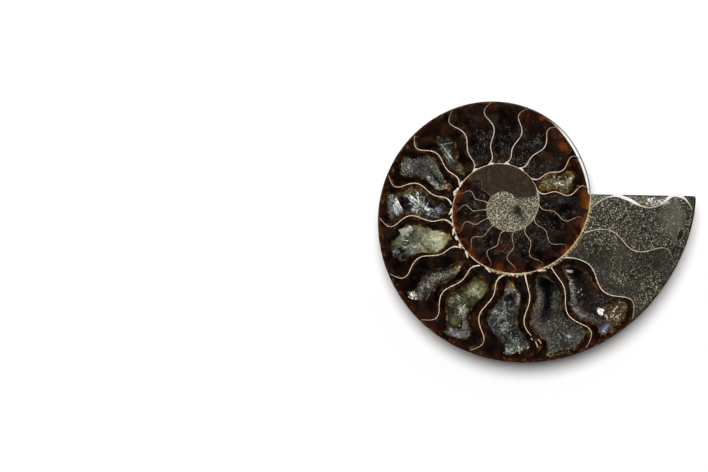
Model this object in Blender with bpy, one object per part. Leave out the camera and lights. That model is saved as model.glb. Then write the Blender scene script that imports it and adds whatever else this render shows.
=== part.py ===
"""One half of an ammonite, sawn through its middle and polished.

The half lies on its domed flank with the polished face up.  +Z is the normal of the
polished face, +X runs along the longest extent towards the mouth of the shell, and the
origin is the centre of the bounding box at its lowest level.  Units are metres.

The shell is a coil: its outer wall is a spiral, its chambers lie between curved septa,
and some chambers are open hollows that are lined with a crust of crystals.
"""
import math
from dataclasses import dataclass

import bmesh
import bpy
import numpy as np

MM = 0.001

# Driving dimensions, in millimetres and degrees.  Angles run clockwise from +X, from the
# mouth inwards, and grow past 360 on the inner whorls.
MOUTH_RADIUS = 64.4          # from the coil's centre to the outer wall at the mouth
HALF_THICKNESS = 15.5        # from the polished face to the flank
GROWTH = 0.7144              # natural logarithm of the shrinkage over the first turn
GROWTH_CHANGE = 0.0782       # extra shrinkage, times turns squared
SAW_HEIGHT = 4.6             # the mouth's sawn end, above the coil's centre
SAW_SLOPE = -0.018
FULL_THICKNESS_TO = 250.0    # the flank keeps its full depth up to this angle

# A whorl's flank, as fractions of its own outer radius.
UMBILICUS = 0.20
FLANK_INNER = 0.40
FLANK_OUTER = 0.62

CORE_DEPTH = 4.5             # the pit of the umbilicus, below the polished face

SEPTUM_ANGLES = (-5.5, 13, 35, 54, 75, 97.5, 120, 143, 168, 188, 211, 234, 255, 276, 297, 321, 343)

CLEARANCE = 0.3              # between a crystal crust and the hollow that holds it
CUTTER_RISE = 1.0            # how far a cutter stands above the polished face
COLUMNS = 72                 # facets around the body
POCKET_POINTS = 22           # facets around a hollow
CENTRE_ROWS = (0.12, 0.22, 0.32, 0.43, 0.56, 0.70, 0.85, 1.0)
FLANK_ROWS = (0.06, 0.14, 0.24, 0.36, 0.48, 0.60, 0.71, 0.80, 0.88, 0.94, 0.98, 1.0)


@dataclass(frozen=True)
class Hollow:
    """An open chamber: where it lies between two septa, how deep it is, and its crystals.

    Reach is the share of the way from the inner wall to the outer wall.  The near and far
    side are shares of the way from the chamber's first septum to the next, at the hollow's
    inner end, middle and outer end.
    """
    chamber: int
    reach: tuple
    near_side: tuple
    far_side: tuple
    depth: float
    colour: tuple
    roughness: float = 0.35


GREY_DRUSE = (0.13, 0.12, 0.105)
BROWN_DRUSE = (0.16, 0.12, 0.08)
BLUE_GREY = (0.17, 0.18, 0.19)
GREEN_CALCITE = (0.36, 0.38, 0.27)
WHITE_CALCITE = (0.50, 0.49, 0.45)
GOLD_CALCITE = (0.50, 0.44, 0.30)

HOLLOWS = (
    Hollow(2, (0.12, 0.97), (0.20, 0.08, 0.12), (0.84, 0.86, 0.90), 6.0, BROWN_DRUSE),
    Hollow(3, (0.08, 0.96), (0.22, 0.10, 0.12), (0.80, 0.82, 0.92), 6.5, GREY_DRUSE),
    Hollow(4, (0.12, 0.93), (0.34, 0.22, 0.16), (0.72, 0.68, 0.74), 4.5, BLUE_GREY),
    Hollow(5, (0.14, 0.92), (0.14, 0.08, 0.24), (0.82, 0.74, 0.84), 3.5, GREEN_CALCITE),
    Hollow(6, (0.17, 0.92), (0.26, 0.18, 0.46), (0.58, 0.56, 0.70), 2.6, GREY_DRUSE),
    Hollow(7, (0.10, 0.88), (0.16, 0.08, 0.34), (0.68, 0.76, 0.80), 2.8, GREEN_CALCITE),
    Hollow(8, (0.09, 0.92), (0.10, 0.06, 0.14), (0.78, 0.84, 0.86), 3.4, WHITE_CALCITE),
    Hollow(9, (0.14, 0.89), (0.26, 0.22, 0.30), (0.64, 0.78, 0.76), 3.2, GREY_DRUSE),
    Hollow(10, (0.11, 0.69), (0.14, 0.16, 0.26), (0.44, 0.52, 0.60), 2.0, WHITE_CALCITE),
    Hollow(15, (0.09, 0.77), (0.18, 0.08, 0.38), (0.84, 0.84, 0.70), 2.2, GOLD_CALCITE),
)


def outer_radius(angle):
    """Outer wall of the coil: a spiral whose growth slows, with slight swells and one flat."""
    turns = angle / 360.0
    mouth = 0.022 * np.exp(-(angle / 24.0) ** 2)
    belly = 0.008 * np.exp(-((angle - 82.0) / 62.0) ** 4)
    flat = 0.012 * np.exp(-((angle - 328.0) / 16.0) ** 2)
    return MOUTH_RADIUS * np.exp(-(GROWTH * turns + GROWTH_CHANGE * turns ** 2) + mouth + belly - flat)


def septum_offset(index, share):
    """Angle by which a septum leaves its radius: a foot, a forward lobe and a curled end."""
    amplitude = 6.2 + 4.3 * min(max((index - 14) / 7.0, 0.0), 1.0)
    lobe = np.where(abs(share - 0.56) < 0.34, np.cos(math.pi / 2 * (share - 0.56) / 0.34) ** 2, 0.0)
    tail = 8.0 * np.clip((share - 0.72) / 0.28, 0.0, None) ** 2
    foot_turn, foot_reach = ((8.0, 0.3) if index < 3 else (-0.5, 0.3)) if index < 5 else (-9.0, 0.18)
    foot = foot_turn * np.clip(1.0 - share / foot_reach, 0.0, None) ** 3
    return amplitude * lobe + tail + foot


def chamber_point(chamber, across, share):
    """Point in a chamber: across runs from septum to septum, share from inner to outer wall."""
    first = SEPTUM_ANGLES[chamber] + septum_offset(chamber, share)
    second = SEPTUM_ANGLES[chamber + 1] + septum_offset(chamber + 1, share)
    angle = (1.0 - across) * first + across * second
    inner = outer_radius(angle + 360.0)
    radius = inner + share * (outer_radius(angle) - inner)
    return polar(angle, radius)


def polar(angle, radius):
    """Plan position, with the coil's centre at zero, of a clockwise angle and a radius."""
    turn = np.radians(angle)
    return np.stack([radius * np.cos(turn), -radius * np.sin(turn)], axis=-1)


def whorl_thickness(angle):
    """Depth of a whorl's flank: full on the outer whorl, then in step with the radius."""
    reference = outer_radius(np.float64(FULL_THICKNESS_TO))
    return HALF_THICKNESS * np.minimum(1.0, outer_radius(angle) / reference)


def flank_profile(fraction):
    """Share of the flank's depth across a whorl: umbilical wall, level flank, round venter."""
    wall = np.clip((FLANK_INNER - fraction) / (FLANK_INNER - UMBILICUS), 0.0, 1.0)
    venter = np.clip((fraction - FLANK_OUTER) / (1.0 - FLANK_OUTER), 0.0, 1.0)
    return (1.0 - wall ** 3) ** (1.0 / 3.0) * np.sqrt(1.0 - venter ** 2)


def flank_depth(angle, radius):
    """Depth of the outside below the polished face: the deepest of the whorls there."""
    whorls = [whorl_thickness(turn) * flank_profile(radius / outer_radius(turn))
              for turn in (angle, angle + 360.0)]
    depth = np.maximum(np.maximum(*whorls), CORE_DEPTH)
    return np.where(radius >= outer_radius(angle) - 1e-6, 0.0, depth)


def saw_angle(radius):
    """Angle at which a circle meets the mouth's straight sawn end."""
    tilt = math.atan(SAW_SLOPE)
    return -np.degrees(np.arcsin(SAW_HEIGHT * math.cos(tilt) / radius) + tilt)


def step_radius():
    """Radius along the sawn end where the last whorl's flank starts to hide the earlier one."""
    radius = np.linspace(UMBILICUS * MOUTH_RADIUS, 0.4 * MOUTH_RADIUS, 400)
    angle = saw_angle(radius)
    hidden = flank_depth(angle, radius) > flank_depth(angle + 360.0, radius) + 0.02
    return float(radius[np.argmax(hidden)])


def new_object(name, vertices, faces, colour, roughness, metallic=0.0):
    """Make a mesh object, in millimetres, with its own material and outward faces."""
    mesh = bpy.data.meshes.new(name)
    mesh.from_pydata([tuple(vertex) for vertex in vertices], [], faces)
    shell = bmesh.new()
    shell.from_mesh(mesh)
    bmesh.ops.remove_doubles(shell, verts=shell.verts, dist=1e-6)
    bmesh.ops.recalc_face_normals(shell, faces=shell.faces)
    shell.to_mesh(mesh)
    shell.free()
    material = bpy.data.materials.new(name)
    material.use_nodes = True
    surface = material.node_tree.nodes["Principled BSDF"]
    surface.inputs["Base Color"].default_value = (*colour, 1.0)
    surface.inputs["Roughness"].default_value = roughness
    surface.inputs["Metallic"].default_value = metallic
    mesh.materials.append(material)
    item = bpy.data.objects.new(name, mesh)
    bpy.context.collection.objects.link(item)
    return item


def grid_faces(rows, columns, start=0, closed=False):
    """Quads between rows of points that were numbered row by row."""
    steps = columns if closed else columns - 1
    return [(start + row * columns + column,
             start + row * columns + (column + 1) % columns,
             start + (row + 1) * columns + (column + 1) % columns,
             start + (row + 1) * columns + column)
            for row in range(rows - 1) for column in range(steps)]


def make_body():
    """The shell half as one solid: polished face, flank, umbilicus and sawn mouth."""
    step = step_radius()
    turn = np.linspace(0.0, 1.0, COLUMNS + 1)
    rows = []
    for share in CENTRE_ROWS:
        rows.append((saw_angle(step) + 360.0 * turn, np.full(COLUMNS + 1, step * share)))
    for share in FLANK_ROWS:
        angle = saw_angle(step) + 360.0 * turn
        for _ in range(8):
            radius = step + share * (outer_radius(angle) - step)
            angle = saw_angle(radius) + 360.0 * turn
        rows.append((angle, radius))
    points = [np.array([[0.0, 0.0, HALF_THICKNESS - CORE_DEPTH]])]
    for angle, radius in rows:
        height = HALF_THICKNESS - flank_depth(angle, radius)
        ring = np.column_stack([polar(angle, radius), height])
        if len(points) <= len(CENTRE_ROWS):
            ring[-1] = ring[0]
        points.append(ring)
    points[-1][:, 2] = HALF_THICKNESS
    columns = COLUMNS + 1
    faces = grid_faces(len(rows), columns, start=1)
    faces += [(0, 2 + column, 1 + column) for column in range(COLUMNS)]
    rim = 1 + (len(rows) - 1) * columns
    faces.append(tuple(range(rim, rim + columns)))
    mouth_rows = [1 + row * columns for row in range(len(CENTRE_ROWS) - 1, len(rows))]
    faces.append(tuple(mouth_rows + [row + COLUMNS for row in reversed(mouth_rows[1:])]))
    return np.concatenate(points), faces


def through_three(values, blend):
    """Parabola through three values, at blend 0, a half and 1."""
    start, middle, end = values
    return (start * (2 * blend - 1) * (blend - 1) + middle * 4 * blend * (1 - blend)
            + end * blend * (2 * blend - 1))


def hollow_ring(hollow, scale):
    """Closed ring of plan points: a squared oval in the chamber's own coordinates."""
    turn = np.linspace(0.0, 2.0 * math.pi, POCKET_POINTS, endpoint=False)
    squareness = 2.0 / 2.6
    sideways = np.sign(np.cos(turn)) * abs(np.cos(turn)) ** squareness * scale
    outwards = np.sign(np.sin(turn)) * abs(np.sin(turn)) ** squareness * scale
    inner, outer = hollow.reach
    share = (inner + outer) / 2 + (outer - inner) / 2 * outwards
    blend = (share - inner) / (outer - inner)
    near = through_three(hollow.near_side, blend)
    far = through_three(hollow.far_side, blend)
    return chamber_point(hollow.chamber, (near + far) / 2 + (far - near) / 2 * sideways, share)


def inward(ring):
    """Unit vectors that point into a closed ring of plan points."""
    along = np.roll(ring, -1, axis=0) - np.roll(ring, 1, axis=0)
    along /= np.linalg.norm(along, axis=1, keepdims=True)
    normal = np.column_stack([-along[:, 1], along[:, 0]])
    area = np.sum(ring[:, 0] * np.roll(ring[:, 1], -1) - np.roll(ring[:, 0], -1) * ring[:, 1])
    return normal if area > 0 else -normal


# The bowl of a hollow: the ring's scale and its share of the hollow's depth.
BOWL = ((0.97, 0.45), (0.86, 0.78), (0.62, 0.95), (0.30, 1.0))


def loft(rings):
    """Closed solid through rings of points, with a flat cap at each end."""
    count = len(rings[0])
    faces = grid_faces(len(rings), count, closed=True)
    last = (len(rings) - 1) * count
    faces.append(tuple(reversed(range(count))))
    faces.append(tuple(range(last, last + count)))
    return np.concatenate(rings), faces


def at_height(ring, height):
    """Plan ring lifted to a height, which may vary along the ring."""
    return np.column_stack([ring, np.broadcast_to(height, len(ring))])


def hollow_cutter(hollow):
    """Bowl that is cut out of the body for a hollow."""
    rings = [at_height(hollow_ring(hollow, 1.0), HALF_THICKNESS + CUTTER_RISE)]
    for scale, share in BOWL:
        rings.append(at_height(hollow_ring(hollow, scale), HALF_THICKNESS - share * hollow.depth))
    return loft(rings)


def crystal_crust(hollow):
    """Crust that lines a hollow: its outside follows the bowl, its inside is faceted."""
    mouth = hollow_ring(hollow, 1.0)
    towards_middle = inward(mouth)
    half_width = np.linalg.norm(mouth[0] - mouth[POCKET_POINTS // 2]) / 2
    thickness = min(1.2, 0.3 * half_width)
    step = np.arange(POCKET_POINTS)
    rings = [at_height(mouth + CLEARANCE * towards_middle, HALF_THICKNESS - 0.5 * CLEARANCE)]
    for scale, share in BOWL:
        ring = hollow_ring(hollow, scale) + scale * CLEARANCE * towards_middle
        rings.append(at_height(ring, HALF_THICKNESS - share * hollow.depth + CLEARANCE * min(1.0, share)))
    inside = []
    for row, (scale, share) in enumerate(BOWL):
        facet = 0.3 * thickness * np.cos(2.4 * step + 1.7 * row)
        inset = (scale * (CLEARANCE + thickness) + facet * scale)[:, None]
        floor = HALF_THICKNESS - share * hollow.depth + CLEARANCE + thickness + facet
        inside.append(at_height(hollow_ring(hollow, scale) + inset * towards_middle,
                                np.minimum(floor, HALF_THICKNESS - CLEARANCE)))
    lip = at_height(mouth + (CLEARANCE + 0.5 * thickness) * towards_middle, HALF_THICKNESS - CLEARANCE)
    return loft(rings[::-1] + [lip] + inside)


def main():
    """Build the body, cut its hollows and line each with its crust."""
    for item in list(bpy.data.objects):
        bpy.data.objects.remove(item)
    body_points, body_faces = make_body()
    low, high = body_points.min(axis=0), body_points.max(axis=0)
    origin = np.array([(low[0] + high[0]) / 2, (low[1] + high[1]) / 2, low[2]])

    def place(solid):
        vertices, faces = solid
        return (vertices - origin) * MM, faces

    body = new_object("ammonite_half", *place((body_points, body_faces)), (0.045, 0.018, 0.008), 0.18)
    for hollow in HOLLOWS:
        cutter = new_object(f"cutter_{hollow.chamber:02d}", *place(hollow_cutter(hollow)),
                            hollow.colour, hollow.roughness)
        cutter.hide_render = True
        cutter.display_type = "WIRE"
        cut = body.modifiers.new(cutter.name, "BOOLEAN")
        cut.operation = "DIFFERENCE"
        cut.solver = "EXACT"
        cut.object = cutter
        new_object(f"crystal_crust_{hollow.chamber:02d}", *place(crystal_crust(hollow)),
                   hollow.colour, hollow.roughness)


main()
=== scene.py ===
"""Looks of one half of a sawn and polished ammonite.

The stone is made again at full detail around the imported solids: its coiled outer shell with the
sawn mouth, the mineral fill of every chamber, the septa and whorl walls inlaid in the polished
face, and the crystals that line the open hollows.  Sizes are in millimetres until a mesh is made.
"""

import logging
import math
from dataclasses import dataclass
from enum import Enum

import bpy
import numpy as np
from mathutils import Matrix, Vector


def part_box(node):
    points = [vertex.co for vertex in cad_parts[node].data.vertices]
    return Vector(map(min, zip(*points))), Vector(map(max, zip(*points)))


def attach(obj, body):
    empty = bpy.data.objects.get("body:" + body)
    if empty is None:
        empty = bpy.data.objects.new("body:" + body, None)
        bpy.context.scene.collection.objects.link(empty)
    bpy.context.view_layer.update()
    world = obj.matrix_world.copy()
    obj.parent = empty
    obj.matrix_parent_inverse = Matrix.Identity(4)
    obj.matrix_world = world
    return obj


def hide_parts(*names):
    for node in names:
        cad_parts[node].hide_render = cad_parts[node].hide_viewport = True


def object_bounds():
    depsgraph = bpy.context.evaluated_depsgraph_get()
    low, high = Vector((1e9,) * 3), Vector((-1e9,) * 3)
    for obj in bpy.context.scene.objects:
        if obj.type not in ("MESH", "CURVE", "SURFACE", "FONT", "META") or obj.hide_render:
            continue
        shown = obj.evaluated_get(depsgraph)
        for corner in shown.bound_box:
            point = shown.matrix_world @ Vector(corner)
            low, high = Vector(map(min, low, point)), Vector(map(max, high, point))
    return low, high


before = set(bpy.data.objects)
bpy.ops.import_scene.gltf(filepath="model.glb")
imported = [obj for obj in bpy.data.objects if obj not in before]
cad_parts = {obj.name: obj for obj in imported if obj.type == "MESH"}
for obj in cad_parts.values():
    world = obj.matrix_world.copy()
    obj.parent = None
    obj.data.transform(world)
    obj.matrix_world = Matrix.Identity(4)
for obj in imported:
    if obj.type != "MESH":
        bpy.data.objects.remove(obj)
CAD_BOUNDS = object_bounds()

MM = 0.001
FULL_TURN = 360.0
LOG = logging.getLogger("ammonite_half")

Array = np.ndarray
Solid = tuple[Array, list]
Material = bpy.types.Material
Piece = bpy.types.Object
Socket = bpy.types.NodeSocket


def bell(value: Array, middle: float, half: float, power: int = 2) -> Array:
    """Bell curve: the exponential of minus the distance in half widths, to an even power."""
    return np.exp(-((value - middle) / half) ** power)


def limited(value: Array) -> Array:
    """Values kept between 0 and 1."""
    return np.clip(value, 0.0, 1.0)


def around(count: int) -> Array:
    """Turns in radians, evenly spaced around a circle."""
    return np.linspace(0.0, 2.0 * math.pi, count, endpoint=False)


def unit(vectors: Array, tiny: float = 0.0) -> Array:
    """Vectors, row by row, divided by their length plus something tiny."""
    return vectors / (np.linalg.norm(vectors, axis=1, keepdims=True) + tiny)


def ripple(points: Array, size: float, seed: int) -> Array:
    """Smooth uneven waves between about -1 and 1: seven sines along random directions.

    Args:
        points: positions in millimetres, any number of columns.
        size: length of a wave in millimetres.
        seed: picks the waves' directions and phases.

    Returns:
        The waves' sum, scaled down.
    """
    dice = np.random.default_rng(seed)
    directions = unit(dice.normal(size=(7, points.shape[-1])))
    lengths = size * dice.uniform(0.6, 1.5, 7)
    phases = dice.uniform(0.0, 2.0 * math.pi, 7)
    waves = np.sin(2.0 * math.pi * (points @ directions.T) / lengths + phases)
    return waves.sum(axis=-1) / 3.0


# -------- Shape of the coil --------

# Angle of each septum at its inner end, in degrees from the mouth inwards.  The last two are the
# near and far edge of the mud that fills the first living chamber.
SEPTUM_ANGLES = (-5.5, 13, 35, 54, 75, 97.5, 120, 143, 168, 188, 211, 234, 255, 276, 297, 321, 343,
                 366, 391, 415, 439, 462, 486, 508, 531, 552.5, 575, 682)
SAWN_EDGE = -1               # index that stands for the sawn end instead of a septum
INNER_WHORL = 16             # first chamber of the inner whorls
MUD_CHAMBER = 26             # the mud's chamber, whose far edge is ragged
SOLVING_STEPS = 8            # rounds of repeated substitution


@dataclass(frozen=True)
class Coil:
    """The spiral that everything follows, placed in the frame, in millimetres and degrees.

    Each swell of the outer wall has its share of the radius, middle, half width and power.
    """

    centre_x: float
    centre_y: float
    face: float
    mouth_radius: float = 64.4
    growth: float = 0.7144
    growth_change: float = 0.0782
    swells: tuple[tuple[float, float, float, int], ...] = (
        (0.022, 0.0, 24.0, 2),       # the mouth
        (0.008, 82.0, 62.0, 4),      # the belly
        (-0.012, 328.0, 16.0, 2),    # the flat beside the notch
        (-0.024, -4.3, 1.2, 2))      # the mouth's rounded corner
    worn_at: float = 327.0
    worn_half: float = 27.0
    saw_height: float = 4.6
    saw_slope: float = -0.018
    umbilicus: float = 0.20
    flank_inner: float = 0.40
    flank_outer: float = 0.62
    core_depth: float = 4.5
    full_thickness_to: float = 250.0

    @classmethod
    def in_box(cls, low: tuple, high: tuple) -> "Coil":
        """Place the coil so that its outline touches the box's left and far sides.

        Args:
            low: lowest corner of the solid, in metres.
            high: highest corner of the solid, in metres.

        Returns:
            The coil, with its face at the top of the box.
        """
        angle = np.linspace(0.0, 355.0, 1421)
        radius = cls(0.0, 0.0, 0.0).outer_radius(angle)
        left = (radius * np.cos(np.radians(angle))).min()
        far = (-radius * np.sin(np.radians(angle))).max()
        return cls(low[0] / MM - left, high[1] / MM - far, high[2] / MM)

    def outer_radius(self, angle: Array) -> Array:
        """Radius of the outer wall: the exponential of the swells less a quadratic in turns.

        Args:
            angle: degrees clockwise from +X, growing inwards.

        Returns:
            Radii in millimetres.
        """
        turns = angle / FULL_TURN
        swell = sum(size * bell(angle, *place) for size, *place in self.swells)
        growth = self.growth * turns + self.growth_change * turns ** 2
        return self.mouth_radius * np.exp(swell - growth)

    def height(self, angle: Array) -> Array:
        """Height of a whorl, from its inner wall to its outer wall."""
        return self.outer_radius(angle) - self.outer_radius(angle + FULL_TURN)

    def radius_at(self, angle: Array, share: Array) -> Array:
        """Radius a share of the way from a whorl's inner wall to its outer wall."""
        return self.outer_radius(angle + FULL_TURN) + share * self.height(angle)

    def rim_width(self, angle: Array) -> Array:
        """Width of the shell's edge in the face: thin, and wide where its worn bevel shows."""
        bevel_highlight = 0.8 * bell(angle, self.worn_at, self.worn_half, 4)
        return (0.55 + bevel_highlight) * limited((355.0 - angle) / 4.0)

    def plan(self, angle: Array, radius: Array) -> Array:
        """Plan position of an angle, clockwise from +X, and a radius about the coil's centre."""
        turn = np.radians(angle)
        return np.stack([self.centre_x + radius * np.cos(turn),
                         self.centre_y - radius * np.sin(turn)], axis=-1)

    def inside(self, angle: Array, share: Array) -> Array:
        """Plan position in a whorl, a share of the way outwards."""
        return self.plan(angle, self.radius_at(angle, share))

    def saw_angle(self, radius: Array) -> Array:
        """Angle at which a circle meets the straight sawn end."""
        tilt = math.atan(self.saw_slope)
        return -np.degrees(np.arcsin(self.saw_height * math.cos(tilt) / radius) + tilt)

    def septum_offset(self, index: int, share: Array) -> Array:
        """Angle by which a septum leaves its radius.

        A cosine-squared lobe in the middle, a quadratic curl at the outer end, and a cubic foot
        where it meets the inner wall.  The lobe grows and moves outwards on the inner whorls.

        Args:
            index: the septum.
            share: shares of the way from the inner wall to the outer wall.

        Returns:
            Degrees to add to the septum's own angle.
        """
        inward = min(max((index - 14) / 7.0, 0.0), 1.0)
        middle = 0.56 + 0.08 * inward
        half = 0.34 - 0.04 * inward
        near = abs(share - middle) < half
        lobe = np.where(near, np.cos(math.pi / 2 * (share - middle) / half) ** 2, 0.0)
        curl = (8.0 - 3.0 * inward) * np.clip((share - 0.72) / 0.28, 0.0, None) ** 2
        turn, reach = (8.0, 0.3) if index < 3 else (-0.5, 0.3) if index < 5 else (-9.0, 0.18)
        turn = turn if index < 22 else -3.5
        foot = turn * np.clip(1.0 - share / reach, 0.0, None) ** 3
        return (6.2 + 4.3 * inward) * lobe + curl + foot

    def edge_angle(self, index: int, share: Array) -> Array:
        """Angle of a septum, the sawn end or the mud's edge.

        The sawn end stops short of the saw cut by the shell's own edge.  The mud's edge is half
        a sine wave with ripples.

        Args:
            index: the septum, or SAWN_EDGE.
            share: shares of the way from the inner wall to the outer wall.

        Returns:
            Degrees clockwise from +X.
        """
        if index == SAWN_EDGE:
            angle = np.zeros_like(share)
            for _ in range(SOLVING_STEPS):
                radius = self.radius_at(angle, share)
                angle = self.saw_angle(radius) + np.degrees(0.35 / radius)
            return angle
        if index == MUD_CHAMBER + 1:
            drop = 14.0 * limited(5.0 * share - 4.0) ** 2
            ripples = 1.6 * np.sin(23.0 * share) + np.sin(41.0 * share + 1.0)
            return SEPTUM_ANGLES[index] + 20.0 * np.sin(0.62 * math.pi * share) - drop + ripples
        return SEPTUM_ANGLES[index] + self.septum_offset(index, share)

    def angle_across(self, index: int, across: Array, share: Array) -> Array:
        """Angle in a chamber, a share of the way across from its first edge to its second."""
        first, second = self.edge_angle(index, share), self.edge_angle(index + 1, share)
        return (1.0 - across) * first + across * second

    def chamber(self, index: int, across: Array, share: Array) -> Array:
        """Plan position in a chamber, between its two edges and its two walls."""
        return self.inside(self.angle_across(index, across, share), share)

    def thickness(self, angle: Array) -> Array:
        """Depth of the flank: full on the outer whorl, then in step with the radius."""
        reference = self.outer_radius(np.float64(self.full_thickness_to))
        return self.face * np.minimum(1.0, self.outer_radius(angle) / reference)

    def profile(self, fraction: Array) -> Array:
        """Share of the depth across a whorl: a cubic inner wall, level flank, round venter."""
        wall = limited((self.flank_inner - fraction) / (self.flank_inner - self.umbilicus))
        venter = limited((fraction - self.flank_outer) / (1.0 - self.flank_outer))
        return (1.0 - wall ** 3) ** (1.0 / 3.0) * np.sqrt(1.0 - venter ** 2)

    def flank_depth(self, angle: Array, radius: Array) -> Array:
        """Depth of the outside below the face.

        Args:
            angle: degrees clockwise from +X.
            radius: distances from the coil's centre.

        Returns:
            The deeper of the two whorls there, or the core's depth, and nothing at the edge.
        """
        depths = [self.thickness(turn) * self.profile(radius / self.outer_radius(turn))
                  for turn in (angle, angle + FULL_TURN)]
        edge = self.outer_radius(angle)
        core = np.where(radius < 0.5 * edge, self.core_depth, 0.0)
        return np.where(radius >= edge - 1e-6, 0.0, np.maximum(np.maximum(*depths), core))


# -------- Meshes --------

def strip_quads(rows: int, columns: int, closed: bool = True) -> Array:
    """Quads between rows of points numbered row by row, joined end to end when closed.

    Args:
        rows: the number of rows.
        columns: points in each row.
        closed: whether the last column joins the first.

    Returns:
        Four corners of each quad.
    """
    row, column = np.meshgrid(np.arange(rows - 1), np.arange(columns if closed else columns - 1),
                              indexing="ij")
    here = row * columns + column
    beside = row * columns + (column + 1) % columns
    return np.stack([here, beside, beside + columns, here + columns], axis=-1).reshape(-1, 4)


def loft(rings: list[Array]) -> Solid:
    """Closed skin over rings of points, from the middle of the first to the middle of the last.

    Args:
        rings: arrays of the same number of 3D points, in order along the skin.

    Returns:
        The vertices and the faces.
    """
    count = len(rings[0])
    points = np.concatenate([*rings, rings[0].mean(axis=0)[None], rings[-1].mean(axis=0)[None]])
    faces = strip_quads(len(rings), count).tolist()
    start, end = len(points) - 2, len(points) - 1
    last = (len(rings) - 1) * count
    faces += [(start, (step + 1) % count, step) for step in range(count)]
    faces += [(end, last + step, last + (step + 1) % count) for step in range(count)]
    return points, faces


def lift(plan: Array, height: float | Array) -> Array:
    """Plan points lifted to a height, which may vary from point to point."""
    return np.column_stack([plan, np.broadcast_to(height, len(plan))])


def stacked(middle: Array, outline: Array, steps: tuple) -> list[Array]:
    """Rings about a middle: an outline about zero at each step's scale and height."""
    return [lift(middle + scale * outline, height) for scale, height in steps]


def joined(solids: list[Solid]) -> Solid:
    """Several closed solids as one set of vertices and faces.

    Args:
        solids: vertices and faces of each.

    Returns:
        All of them in one.
    """
    points, faces, start = [], [], 0
    for vertices, polygons in solids:
        points.append(vertices)
        faces += [tuple(corner + start for corner in polygon) for polygon in polygons]
        start += len(vertices)
    return np.concatenate(points), faces


def repeated(triangles: Array, corners: int, count: int) -> list:
    """Triangles of many copies of one shape, whose corners follow each other."""
    return (triangles[None] + (np.arange(count) * corners)[:, None, None]).reshape(-1, 3).tolist()


def ribbon(path: Array, width: Array, face: float, crown: float) -> Solid:
    """Closed bar inlaid in the face along a plan path, with a slightly crowned top.

    Args:
        path: plan points along the middle of the bar.
        width: its width at each point.
        face: height of the polished face.
        crown: how far its middle stands above the face.

    Returns:
        Vertices and faces, seven vertices for each point of the path and two at the ends.
    """
    along = unit(np.gradient(path, axis=0), 1e-12)
    across = np.column_stack([-along[:, 1], along[:, 0]])
    section = ((-0.5, -0.5), (-0.5, 0.004), (-0.25, 0.8 * crown), (0.0, crown),
               (0.25, 0.8 * crown), (0.5, 0.004), (0.5, -0.5))
    rows = [lift(path + (side * width)[:, None] * across, face + rise) for side, rise in section]
    return loft(list(np.stack(rows, axis=1)))


def along_ribbon(values: Array) -> Array:
    """One value for each point of a path, as values for a ribbon's vertices."""
    return np.concatenate([np.repeat(values, 7), [values[0], values[-1]]])


def signed_volume(mesh: bpy.types.Mesh) -> float:
    """Volume inside a mesh: a sixth of the sum of its triangles' triple products.

    Args:
        mesh: closed, with faces that agree in their winding.

    Returns:
        Cubic metres, negative when the faces point inwards.
    """
    mesh.calc_loop_triangles()
    corners = np.empty(len(mesh.loop_triangles) * 3, dtype=np.int32)
    mesh.loop_triangles.foreach_get("vertices", corners)
    points = np.empty(len(mesh.vertices) * 3, dtype=np.float32)
    mesh.vertices.foreach_get("co", points)
    first, second, third = points.reshape(-1, 3)[corners.reshape(-1, 3).T].astype(np.float64)
    return float(np.einsum("ij,ij->", first, np.cross(second, third)) / 6)


def put(name: str, data: bpy.types.ID) -> Piece:
    """Object for a mesh, lamp or camera, in the scene."""
    item = bpy.data.objects.new(name, data)
    bpy.context.collection.objects.link(item)
    return item


def make_piece(name: str, solid: Solid, material: Material, smooth: bool | Array = True,
               **attributes: float | Array) -> Piece:
    """Make one object from points in millimetres, and let it ride on the stone.

    Args:
        name: the piece's name.
        solid: its vertices and faces.
        material: its finish.
        smooth: whether its faces are shaded smooth, for all of them or face by face.
        attributes: by name, a number for all vertices, or a number or a colour for each.

    Returns:
        The object, with outward faces.
    """
    vertices, faces = solid
    mesh = bpy.data.meshes.new(name)
    mesh.from_pydata((vertices * MM).tolist(), [], faces)
    for label, values in attributes.items():
        values = np.broadcast_to(values, len(vertices)) if np.ndim(values) == 0 else values
        kind, field = ("FLOAT", "value") if np.ndim(values) == 1 else ("FLOAT_COLOR", "color")
        layer = mesh.attributes.new(label, kind, "POINT")
        layer.data.foreach_set(field, np.ascontiguousarray(values, dtype=np.float32).ravel())
    mesh.materials.append(material)
    mesh.polygons.foreach_set("use_smooth", np.broadcast_to(smooth, len(faces)))
    mesh.validate()
    if signed_volume(mesh) < 0.0:
        mesh.flip_normals()
    item = put(name, mesh)
    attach(item, "root")
    LOG.info("%s: %d vertices", name, len(vertices))
    return item


# -------- Finishes --------

def colour(hex_code: str) -> tuple[float, float, float, float]:
    """Linear colour of an sRGB hex code."""
    values = [int(hex_code[start:start + 2], 16) / 255.0 for start in (1, 3, 5)]
    return (*(value / 12.92 if value <= 0.04045 else ((value + 0.055) / 1.055) ** 2.4
              for value in values), 1.0)


def per_mm(size: float) -> float:
    """Texture scale on object coordinates whose features are the given size in millimetres."""
    return 1.0 / (size * MM)


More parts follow.
